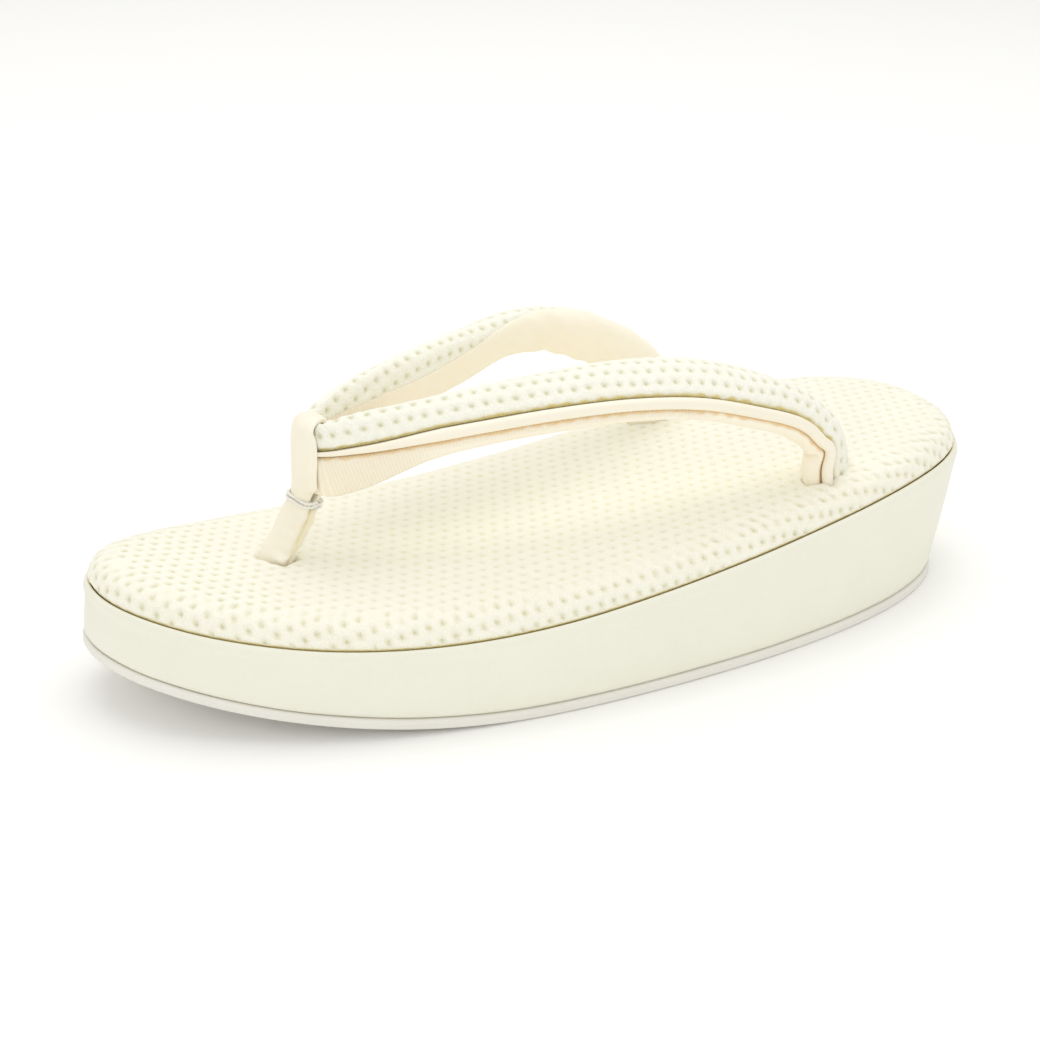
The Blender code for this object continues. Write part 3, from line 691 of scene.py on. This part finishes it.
def strap_sections(spacing):
    """Middle, directions and sizes of the strap every so many millimetres."""
    dense = np.linspace(0, len(STRAP_ROWS) - 1, DENSE_STEPS)
    path = through(STRAP_ROWS, dense)[:, :3]
    run = np.concatenate([[0], np.cumsum(np.linalg.norm(np.diff(path, axis=0), axis=1))])
    count = int(run[-1] / spacing) + 1
    at = np.linspace(0, run[-1], count)
    place = np.interp(at, run, dense)
    values = through(STRAP_ROWS, place)
    ahead = through(STRAP_ROWS, place + LOOK_AHEAD)[:, :3]
    along = unit(ahead - through(STRAP_ROWS, place - LOOK_AHEAD)[:, :3])
    yaw, tilt = np.radians(values[:, 3]), np.radians(values[:, 4])
    inward = np.stack([-np.cos(yaw), np.sin(yaw), np.zeros(count)], axis=1)
    inward = unit(inward - along * (inward * along).sum(1, keepdims=True))
    upward = np.cross(inward, along)
    wide = inward * np.sin(tilt)[:, None] + upward * np.cos(tilt)[:, None]
    face = upward * np.sin(tilt)[:, None] - inward * np.cos(tilt)[:, None]
    return {"at": at, "middle": values[:, :3], "wide": wide, "face": face,
            "half_wide": values[:, 5], "half_thick": values[:, 6],
            "piping": values[:, 7], "seam": values[:, 8],
            "bend": np.interp(len(OUTER_ARM), dense, run)}


def on_strap(cut, degrees, depth=0.0):
    """Points on the strap's sections at angles, a depth below its surface."""
    angle = np.radians(degrees)
    side = (cut["half_wide"][:, None] - depth) * np.sin(angle)
    front = (cut["half_thick"][:, None] - depth) * np.cos(angle)
    return (cut["middle"][:, None] + cut["wide"][:, None] * side[..., None]
            + cut["face"][:, None] * front[..., None])


def span_for(cut, degrees, length):
    """Angle that covers a length along the surface near an angle."""
    angle = np.radians(degrees)
    reach = np.hypot(cut["half_wide"] * np.cos(angle), cut["half_thick"] * np.sin(angle))
    return np.degrees(length / reach)


def piping_radius(cut):
    """Radius of the piping, thin near the front loop."""
    part = (cut["middle"][:, 1] - PIPING_THIN_Y) / (PIPING_FULL_Y - PIPING_THIN_Y)
    return PIPING_RADIUS * (PIPING_THIN + (1 - PIPING_THIN) * np.clip(part, 0, 1))


def even_angles(cut, start, end, count):
    """Angles from start to end on each section, evenly spaced along the surface."""
    share = np.linspace(0, 1, ARC_STEPS)
    dense = start[:, None] + (end - start)[:, None] * share
    radians = np.radians(dense)
    pace = np.hypot(cut["half_wide"][:, None] * np.cos(radians),
                    cut["half_thick"][:, None] * np.sin(radians))
    step = np.radians(np.abs(np.diff(dense, axis=1))) * (pace[:, 1:] + pace[:, :-1]) / 2
    run = np.concatenate([np.zeros((len(dense), 1)), np.cumsum(step, axis=1)], axis=1)
    angles = np.empty((len(dense), count))
    widths = np.empty((len(dense), count))
    for index in range(len(dense)):
        widths[index] = np.linspace(0, run[index, -1], count)
        angles[index] = np.interp(widths[index], run[index], dense[index])
    return angles, widths


cut = strap_sections(STRAP_SPACING)
bunch = np.exp(-((cut["at"] - BUNCH_MIDDLE) / BUNCH_REACH) ** 2)
bunch *= np.sin((cut["at"] - BUNCH_START) / BUNCH_PACE)
cut["piping"] = cut["piping"] + BUNCH_TURN * bunch
margin = span_for(cut, cut["piping"], piping_radius(cut) + GAP)
print(f"strap: {cut['at'][-1]:.0f} mm long in {len(cut['at'])} sections")

# %% [markdown]
# ## Canvas of the straps
#
# The canvas covers the top and outer face of the padding. Its dimples form
# rows of hexagons. Because the cloth is pulled over soft filling, each dimple
# sinks and the cloth swells a little between them. Both long edges turn down,
# so a dark line shows where the canvas meets the piping, deepened by painted
# warm shade along that edge. The skin is closed into a wall by a plain inner
# side, which the filling hides.

# %% Strap canvas
DIMPLE_ROWS, DIMPLE_PITCH = 3.55, 3.5
DIMPLE_WIDE, DIMPLE_DEEP = 0.54, 0.46
PAD_HEIGHT, DIMPLE_RIM_SHADE = 0.24, 0.16
CANVAS_COLUMNS, CANVAS_INNER = 50, 9
CANVAS_EDGE, CANVAS_FAR_EDGE, CANVAS_PUFF = 0.75, 0.10, 0.22


def outward_normals(skin):
    """Unit normals of a skin of the strap that point away from its middle."""
    normal = unit(np.cross(np.gradient(skin, axis=0), np.gradient(skin, axis=1)))
    return normal * np.sign(((skin - cut["middle"][:, None]) * normal).sum(-1, keepdims=True))


def strap_wall(name, surface, skin, turned, widths, inner, facts):
    """A wall from a skin and a plain inner side between two angles."""
    start, end, count = inner
    share = np.linspace(1, 0, count)
    under = on_strap(cut, start[:, None] + (end - start)[:, None] * share, SHELL)
    lay = np.stack(np.broadcast_arrays(cut["at"][:, None], widths, 0.0), axis=-1)
    hidden = np.zeros((len(skin), count))
    stored = {"lay": np.concatenate([lay, lay[:, :count]], axis=1),
              "seam": np.concatenate([turned, hidden + 1], axis=1)}
    for key, values in facts.items():
        stored[key] = np.concatenate([values, hidden], axis=1)
    return make_tube(name, np.concatenate([skin, under], axis=1), surface, stored)


def canvas_relief(along, across, seed):
    """Height of the dimpled cloth, and the painted shade in and round each dimple."""
    a = across + 0.25 * drift(along, across, 17.0, seed)
    b = along + 0.25 * drift(along, across, 15.0, seed + 1)
    gap = dimple_distance(a, b, DIMPLE_ROWS, DIMPLE_PITCH)
    hollow = np.exp(-(gap / DIMPLE_WIDE) ** 2)
    pad = PAD_HEIGHT * smooth(gap, 0.3, 1.9) + 0.05 * drift(along, across, 3.1, seed + 2)
    # painted shade: deep in each dimple, with a softer ring round it
    shade = hollow + DIMPLE_RIM_SHADE * (1 - smooth(gap, 0.5, 1.7))
    return pad - DIMPLE_DEEP * hollow, shade


start = cut["piping"] + margin
angles, widths = even_angles(cut, start, cut["seam"], CANVAS_COLUMNS)
top_skin = on_strap(cut, angles)
height, hollow = canvas_relief(cut["at"][:, None], widths, 11)
edge = 1 - smooth(widths, 0.0, 1.3)
far_edge = 1 - smooth(widths[:, -1:] - widths, 0.0, 1.6)
height = height * (1 - edge) * (1 - far_edge)
height += CANVAS_PUFF * np.sin(math.pi * widths / widths[:, -1:])
height -= CANVAS_EDGE * edge ** 1.5 + CANVAS_FAR_EDGE * far_edge
wander = 0.25 * drift(cut["at"], 0 * cut["at"], 3.0, 15)[:, None]
# painted warm shade along the canvas edge by the piping, stored as the seam number
turned = 1 - smooth(widths, 0.30 + wander, 0.85 + wander)
strap_top = strap_wall("strap_canvas_top", strap_canvas,
                       top_skin + outward_normals(top_skin) * height[..., None], turned,
                       widths, (start, cut["seam"], CANVAS_INNER), {"hollow": hollow * (1 - edge)})
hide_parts("strap_cover")

# %% [markdown]
# ## Lining of the straps
#
# The lining wraps the underside and the inner face. It is gathered into fine
# ribs beside the piping and all over near the loop. Where the inner strap
# bends down to the sole it creases across, and above the outer slot it folds
# over a swelling before it goes in.

# %% Strap lining
LINING_COLUMNS, LINING_INNER, LINING_LAP = 62, 13, 0.5
LINING_EDGE, LAP_HIGH, LAP_EDGE = 0.6, 0.14, 0.10
BEND_CREASE, REAR_CREASE = 0.24, 0.22
FOLD_AT, FOLD_SLANT, FOLD_HALF, FOLD_DEEP = 19.0, 0.55, 1.3, 1.1
SWELL_AT, SWELL_HALF, SWELL_HIGH = 12.5, 3.6, 0.7

start = cut["piping"] - margin
end = cut["seam"] - 360.0 - span_for(cut, cut["seam"], LINING_LAP)
angles, widths = even_angles(cut, start, end, LINING_COLUMNS)
low_skin = on_strap(cut, angles)
at = cut["at"][:, None]
total = cut["at"][-1]
far_edge = widths[:, -1:] - widths
edge = 1 - smooth(widths, 0.0, 1.2)
height = LAP_HIGH * (1 - smooth(far_edge, 1.0, 4.0)) - LINING_EDGE * edge ** 1.5
height -= LAP_EDGE * (1 - smooth(far_edge, 0.0, 0.4))
creases = drift(at * 0.8 + widths * 0.9, widths * 0.2, 6.5, 21)
bent = smooth(at, total - 78, total - 58) * (1 - smooth(at, total - 30, total - 12))
near_rear = 1 - smooth(at, 14.0, 46.0)
height += (BEND_CREASE * bent + REAR_CREASE * near_rear) * creases
fold = np.exp(-((at - FOLD_AT - FOLD_SLANT * (widths - 6.0)) / FOLD_HALF) ** 2)
fold *= smooth(widths, 1.2, 3.0) * (1 - smooth(widths, 9.0, 14.0))
swell = np.exp(-((at - SWELL_AT) / SWELL_HALF) ** 2) * smooth(widths, 2.0, 5.0)
height += SWELL_HIGH * swell - FOLD_DEEP * fold
from_tip = np.abs(at - cut["bend"])
ribbed = np.maximum(1 - smooth(from_tip, 22.0, 36.0), 1 - smooth(widths, 1.4, 2.2))
ribbed = ribbed * (1 - smooth(from_tip, 95.0, 105.0))
# painted warm shade along the lining's edge by the piping, stored as the seam number
turned = 1 - smooth(widths, 0.35 + wander, 1.0 + wander)
strap_under = strap_wall("strap_lining_under", lining_cloth,
                         low_skin + outward_normals(low_skin) * height[..., None], turned,
                         widths, (start, end, LINING_INNER), {"ribbed": ribbed})
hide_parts("strap_lining")

# %% [markdown]
# ## Piping
#
# A cord covered in leather is sewn into the seam between canvas and lining. It
# is a swept circle: the same small ring, placed square to the seam line again
# and again. It thins to a third where the two straps go under the loop.

# %% Piping
PIPING_SIDES, PIPING_PLUMP, PIPING_END = 16, 0.08, 3.4


def sweep(path, outward, radius, sides):
    """Rings of a round cord along a path, turned with an outward direction."""
    along = unit(np.gradient(path, axis=0))
    out = unit(outward - along * (outward * along).sum(1, keepdims=True))
    other = np.cross(along, out)
    turn = 2 * math.pi * np.arange(sides) / sides
    offset = (out[:, None] * np.cos(turn)[None, :, None]
              + other[:, None] * np.sin(turn)[None, :, None])
    return path[:, None] + offset * np.asarray(radius)[:, None, None]


seam_line = on_strap(cut, cut["piping"][:, None])[:, 0]
cord_radius = piping_radius(cut) + PIPING_PLUMP
half = int(np.searchsorted(cut["at"], cut["bend"]))
skip = int(PIPING_END / STRAP_SPACING)
for name, node, chosen in (
    ("piping_outer_cord", "piping_outer", slice(0, half - skip)),
    ("piping_inner_cord", "piping_inner", slice(half + skip, None)),
):
    tube = sweep(seam_line[chosen], cut["face"][chosen], cord_radius[chosen], PIPING_SIDES)
    piece = make_tube(name, tube, trim_leather)
    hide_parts(node)

# %% [markdown]
# ## The front loop
#
# A strip of folded leather is laid over the front bend of the straps. Its two
# ends go down together between the toes into the sole. The band is a flat
# oval section with soft edges. Below the straps the leather is squeezed by
# the thread and creased from being pulled through its hole.

# %% Front loop
LOOP_SECTIONS, LOOP_SIDES = 330, 56
STEM_TOP, STEM_FULL = 46.0, 41.0
CRUMPLE, STEM_FILL, HEM_HIGH, STEM_SHADE = 0.34, 0.5, 0.16, 0.32


def loop_rings(count, across):
    """Fine sections of the loop, each turned by the twist of its row."""
    place = np.linspace(0, len(LOOP_TABLE) - 1, count)
    values = through(LOOP_TABLE, place)
    along = through(LOOP_TABLE, place + LOOK_AHEAD) - through(LOOP_TABLE, place - LOOK_AHEAD)
    along = unit(along[:, :3] * (0.0, 1.0, 1.0))
    square = np.stack([np.zeros(count), along[:, 2], -along[:, 1]], axis=1)
    c = np.cos(np.radians(values[:, 6:7]))
    s = np.sin(np.radians(values[:, 6:7]))
    sideways = np.array([[1.0, 0.0, 0.0]])
    wide, normal = sideways * c + square * s, square * c - sideways * s
    turn = np.linspace(0, 2 * math.pi, across, endpoint=False)
    part = signed_power(np.cos(turn), 0.35)
    thick = signed_power(np.sin(turn), 0.75)
    stem = smooth(-values[:, 2], -STEM_TOP, -STEM_FULL)[:, None]
    crease = drift(values[:, None, 2] * 1.5, part * 2.5, 5.0, 31)
    right = smooth(part, -0.2, 0.7)
    lift = thick * values[:, None, 4] / 2 - values[:, None, 5] * part ** 2
    fold = np.exp(-((part - 0.80) / 0.10) ** 2) - np.exp(-((part - 0.62) / 0.09) ** 2)
    fold = fold * smooth(values[:, 3:4], 8.5, 10.5) * (thick > 0)
    lift = lift + stem * (0.03 + CRUMPLE * right) * crease + HEM_HIGH * fold
    lift = lift - STEM_FILL * stem * smooth(-thick, 0.0, 0.4) * (1 + 0.5 * crease)
    run = np.arange(count)[:, None] * 0.4
    reach = part * values[:, None, 3] / 2
    reach = reach + stem * 0.22 * right * drift(run, thick * 2.0, 9.0, 32)
    spots = (values[:, None, :3] + wide[:, None] * reach[..., None]
             + normal[:, None] * lift[..., None])
    # the second value is painted shade on the back of the stem, below the straps
    return spots, STEM_SHADE * stem * smooth(-thick, 0.0, 0.6)


loop_grid, seam = loop_rings(LOOP_SECTIONS, LOOP_SIDES)
front_band = make_tube("front_loop_band", loop_grid, trim_leather, {"seam": seam})
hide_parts("front_loop")

# %% [markdown]
# ## The thread
#
# White thread is wound round both strands of the loop, just under the straps,
# to hold them together. Three twisted plies give it a rope-like surface, so
# the section is a clover that turns as it goes.

# %% Thread
THREAD_RADIUS, THREAD_TURNS = 0.34, 2.0
THREAD_STEPS, THREAD_SIDES = 420, 18
THREAD_CENTRE, THREAD_HALF, THREAD_BLUNT = (-1.4, -68.0), (4.0, 2.95), 0.5
THREAD_TWIST = math.radians(20.0)
THREAD_LOW, THREAD_RISE, THREAD_TILT, THREAD_LEAN = 43.6, 1.8, 0.2, 0.42
PLIES, PLY_DEEP, PLY_TURNS = 3, 0.22, 5.0

turn = np.linspace(0, 2 * math.pi * THREAD_TURNS, THREAD_STEPS)
side_x = THREAD_HALF[0] * signed_power(np.cos(turn), THREAD_BLUNT)
side_y = THREAD_HALF[1] * signed_power(np.sin(turn), THREAD_BLUNT)
c, s = math.cos(THREAD_TWIST), math.sin(THREAD_TWIST)
rise = THREAD_RISE * turn / turn[-1]
path = np.stack([side_x * c - side_y * s + THREAD_CENTRE[0],
                 side_x * s + side_y * c + THREAD_CENTRE[1] + THREAD_LEAN * rise,
                 THREAD_LOW - THREAD_TILT * side_x + rise], axis=1)
turn = turn + THREAD_TWIST
out = np.stack([np.cos(turn), np.sin(turn), np.zeros_like(turn)], axis=1)
tube = sweep(path, out, np.full(THREAD_STEPS, THREAD_RADIUS), THREAD_SIDES)
centre = tube.mean(axis=1, keepdims=True)
side = 2 * math.pi * np.arange(THREAD_SIDES) / THREAD_SIDES
clover = 1 + PLY_DEEP * np.cos(PLIES * (side[None] + turn[:, None] * PLY_TURNS))
thread = make_tube("loop_thread_twist", centre + (tube - centre) * clover[..., None],
                   white_thread)
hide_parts("loop_thread")

# %% [markdown]
# ## The footbed cover
#
# The cover is a cushion: canvas over thin foam, pulled down round the edge and
# tucked behind the lip. Rings of points climb the soft edge, and strips go
# across the top from side to side. Where the loop and the straps enter, the
# cloth is punched and its edge turns down into the hole.

# %% Cover points
COVER_SPACING, ACROSS, SIDE_STEPS = 0.60, 142, 4001
EDGE_START, EDGE_RINGS = 0.6, 15
EDGE_PULL, PULL_AT, PULL_HALF = 0.58, 0.5, 1.1


def side_angles(spacing):
    """Angles down one side of the outline, an even distance apart."""
    dense = np.linspace(0, 180, SIDE_STEPS)
    x, y = outline(dense)
    run = np.concatenate([[0], np.cumsum(np.hypot(np.diff(x), np.diff(y)))])
    return np.interp(np.linspace(0, run[-1], int(run[-1] / spacing) + 1), run, dense)


right = side_angles(COVER_SPACING)
around = np.concatenate([right, 360.0 - right[-2:0:-1]])
profile = through(COVER_TABLE, np.linspace(EDGE_START, len(COVER_TABLE) - 1, EDGE_RINGS))
profile[:, 0] -= EDGE_PULL * np.exp(-((profile[:, 1] - PULL_AT) / PULL_HALF) ** 2)
edge_rings = np.array([level_ring(around, inset, lambda y: rim_height(y) + height, 0.0)
                       for inset, height in profile])
last_ring = edge_rings[-1]
count, half = len(around), len(right) - 1
share = np.linspace(0, 1, ACROSS + 1)[1:-1]
inside = (last_ring[1:half, None] * (1 - share[:, None])
          + last_ring[:half:-1, None] * share[:, None])
bulge = np.sin(math.pi * np.arange(1, half) / half)[:, None] * (1 - (2 * share - 1) ** 2)
inside[..., 2] += COVER_CROWN * bulge
print(f"cover: {count} points round, {inside.shape[0]} strips of {inside.shape[1]} points")

# %% Cover relief
HOLE_SQUARE = 6
SLOT_PLACE, SLOT_TIGHT, CORD_HOLE = 0.2, 0.2, 1.2


def cloth_position(rings):
    """Where each edge point lies on the flat cloth, unrolled from the last ring."""
    steps = np.linalg.norm(np.diff(rings, axis=0, append=rings[-1:]), axis=-1)
    reach = np.cumsum(steps[::-1], axis=0)[::-1]
    return rings[-1, :, :2] + unit(rings[1, :, :2] - rings[-1, :, :2]) * reach[..., None]


def hole_distance(x, y):
    """Distance to the nearest punched hole, negative inside it."""
    x_in, y_in = x - HOLE_CENTRE[0], y - HOLE_CENTRE[1]
    loop_x = (x_in * math.cos(HOLE_TWIST) + y_in * math.sin(HOLE_TWIST)) / HOLE_HALF[0]
    loop_y = (y_in * math.cos(HOLE_TWIST) - x_in * math.sin(HOLE_TWIST)) / HOLE_HALF[1]
    nearest = (loop_x ** HOLE_SQUARE + loop_y ** HOLE_SQUARE) ** (1 / HOLE_SQUARE) - 1
    nearest = nearest * HOLE_HALF[1]
    for arm, sign in ((OUTER_ARM, 1), (INNER_ARM, -1)):
        row = np.array(arm[-2]) * (1 - SLOT_PLACE) + np.array(arm[-1]) * SLOT_PLACE
        tilt, cord = math.radians(row[4]), math.radians(row[7])
        x_in, y_in = x - row[0], y - row[1]
        wide = y_in * math.cos(tilt) - sign * x_in * math.sin(tilt)
        face = y_in * math.sin(tilt) + sign * x_in * math.cos(tilt)
        half_wide, half_thick = row[5:7]
        strap = np.hypot(wide / (half_wide - SLOT_TIGHT), face / (half_thick - SLOT_TIGHT)) - 1
        piping = np.hypot(wide - half_wide * math.sin(cord), face - half_thick * math.cos(cord))
        nearest = np.minimum(nearest, np.minimum(strap * half_thick, piping - CORD_HOLE))
    return nearest


edge_flat = cloth_position(edge_rings)
spots = np.concatenate([edge_rings.reshape(-1, 3), inside.reshape(-1, 3)])
flat = np.concatenate([edge_flat.reshape(-1, 2), inside[..., :2].reshape(-1, 2)])
base, rim = len(edge_rings) * count, (len(edge_rings) - 1) * count
steps = np.arange(1, half)
inner = np.arange(base, len(spots)).reshape(inside.shape[:2])
net = np.column_stack([rim + steps, inner, rim + count - steps])
faces = grid_faces(len(edge_rings), count, False, True).tolist()
faces += net.ravel()[grid_faces(*net.shape, False, False)].tolist()
for tip, row in ((rim, net[0].tolist()), (rim + half, net[-1].tolist())):
    faces += [[tip, a, b] for a, b in zip(row, row[1:])]
print(f"cover: {len(faces)} faces before the holes are punched")

# %% Cover mesh
TOE_WEAR, TIP_PLAIN, TIP_FULL = 0.42, 0.8, 3.0
PUNCH_EDGE, PUNCH_DEEP, PUNCH_CUT = 0.9, 4.0, 0.75


def vertex_normals(points, corners):
    """Average normals at points from the faces round them."""
    total = np.zeros_like(points)
    quads = np.array([c if len(c) == 4 else c + [c[-1]] for c in corners])
    a, b, c, d = (points[column] for column in quads.T)
    normal = np.cross(c - a, d - b)
    for column in quads.T:
        np.add.at(total, column, normal)
    return unit(total) * np.where(total[:, 2:] < 0, -1.0, 1.0)


height, hollow = canvas_relief(flat[:, 1], flat[:, 0], 41)
low_edge = np.repeat(np.linspace(0, 1, len(edge_rings)), count)
low_edge = np.concatenate([low_edge, np.ones(inner.size)])
worn = 1 - TOE_WEAR * smooth(low_edge, 0.8, 1.0) * smooth(spots[:, 1], -98, -70)
ends_of_top = last_ring[[0, half], :2]
pole = np.min([np.hypot(*(spots[:, :2] - end).T) for end in ends_of_top], axis=0)
quiet = smooth(low_edge, 0.1, 0.35) * worn * smooth(pole, TIP_PLAIN, TIP_FULL)
upward = vertex_normals(spots, faces)
# the top is nearly level, so its relief goes straight up
upward[base:] = (0.0, 0.0, 1.0)
spots = spots + upward * (height * quiet)[:, None]
hollow *= quiet
hole = hole_distance(spots[:, 0], spots[:, 1])
spots[:, 2] -= PUNCH_DEEP * (1 - smooth(hole, -PUNCH_EDGE, PUNCH_EDGE)) ** 2
outside = hole > -PUNCH_CUT
faces = [c for c in faces if all(outside[i] for i in c)]
used = np.zeros(len(spots), bool)
used[np.concatenate(faces)] = True
renumber = np.cumsum(used) - 1
faces = [renumber[c] for c in faces]
lay = np.concatenate([flat[used], np.zeros((used.sum(), 1))], axis=1)
# painted warm shade on the lowest edge rings, in the groove under the lip
seam = 1 - smooth(low_edge, 0.15, 0.25)
cushion = make_piece("footbed_cover_canvas", spots[used], faces, cover_canvas,
                     {"lay": lay, "hollow": hollow[used], "seam": seam[used]})
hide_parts("footbed_cover")

# %% [markdown]
# ## Foam and filling
#
# The wedge of foam and the cotton in the straps are carried over from the
# solid model as they are. They sit under the other pieces.

# %% Carried-over pieces
for node, surface in (("sole_core", sole_foam), ("strap_padding", cotton)):
    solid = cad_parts[node]
    solid.data.materials.clear()
    solid.data.materials.append(surface)
print("carried over:", "sole_core, strap_padding")

# %% [markdown]
# ## Floor and light
#
# The sandal stands on a white studio floor that fades into the background.
# Large soft lights keep the shadows pale: one overhead and a little behind
# for the lip and the strap tops, one from the front for the side band.

# %% Floor and light
LIGHT_AIM = (0.0, 0.0, 0.02)
LIGHT_COLOUR = (0.985, 0.992, 1.0)
AIR_COLOUR, AIR_STRENGTH = (1.0, 0.99, 0.962, 1.0), 0.74
FLOOR_HALF, FLOOR_POINTS = 3.0, 25


def soft_light(name, spot, size, power):
    """A large square light that points at the sandal."""
    data = bpy.data.lights.new(name, "AREA")
    data.shape = "SQUARE"
    data.size = size
    data.energy = power
    data.color = LIGHT_COLOUR
    lamp = add_object(name, data)
    lamp.location = spot
    lamp.rotation_euler = (Vector(LIGHT_AIM) - lamp.location).to_track_quat("-Z", "Y").to_euler()


soft_light("light_overhead", (-0.25, 0.10, 1.10), 1.1, 5.0)
soft_light("light_front", (0.80, -0.95, 0.75), 0.9, 2.2)
soft_light("light_side", (0.9, 0.7, 0.5), 0.8, 0.7)

backdrop = Finish("studio_white")
backdrop.wear(paint(255, 255, 254), 0.9)
steps = np.linspace(-FLOOR_HALF, FLOOR_HALF, FLOOR_POINTS)
gx, gy = np.meshgrid(steps, steps, indexing="ij")
floor_mesh = bpy.data.meshes.new("studio_floor")
floor_points = np.stack([gx, gy, np.zeros_like(gx)], axis=-1).reshape(-1, 3)
floor_faces = grid_faces(FLOOR_POINTS, FLOOR_POINTS, False, False)
floor_mesh.from_pydata(floor_points.tolist(), [], floor_faces.tolist())
floor_mesh.materials.append(backdrop.material)
studio_floor = add_object("studio_floor", floor_mesh)

world = bpy.data.worlds.new("studio_air")
world.use_nodes = True
air = world.node_tree.nodes["Background"]
air.inputs["Color"].default_value = AIR_COLOUR
air.inputs["Strength"].default_value = AIR_STRENGTH
bpy.context.scene.world = world
bpy.context.scene.view_settings.view_transform = "Standard"

# %% [markdown]
# ## Camera
#
# The camera looks along the sandal from its outer front, about 23 degrees above
# the floor, from a little over half a metre. Its place was worked out from the
# outline in the photograph. A slightly longer lens frames the one sandal.

# %% Camera
TARGET = Vector((-8.65, -6.94, 26.41)) * MM
BACK = Vector((0.8107, -0.4358, 0.3909)).normalized()
DISTANCE = 569.62 * MM
ROLL = math.radians(1.03)
PHOTO_LENS, CLOSER = 65.77, 1.18
SENSOR_WIDTH = 36.0
right_way = Vector((-BACK.y, BACK.x, 0.0)).normalized()
up_way = BACK.cross(right_way)
x_axis = right_way * math.cos(ROLL) + up_way * math.sin(ROLL)
y_axis = up_way * math.cos(ROLL) - right_way * math.sin(ROLL)
lens_data = bpy.data.cameras.new("camera")
lens_data.lens = PHOTO_LENS * CLOSER
lens_data.sensor_width = SENSOR_WIDTH
lens_data.clip_start = 0.01
camera = add_object("camera", lens_data)
turned = Matrix((x_axis, y_axis, BACK)).transposed().to_4x4()
camera.matrix_world = Matrix.Translation(TARGET + BACK * DISTANCE) @ turned
bpy.context.scene.camera = camera
print("camera at", [round(c, 3) for c in camera.location])
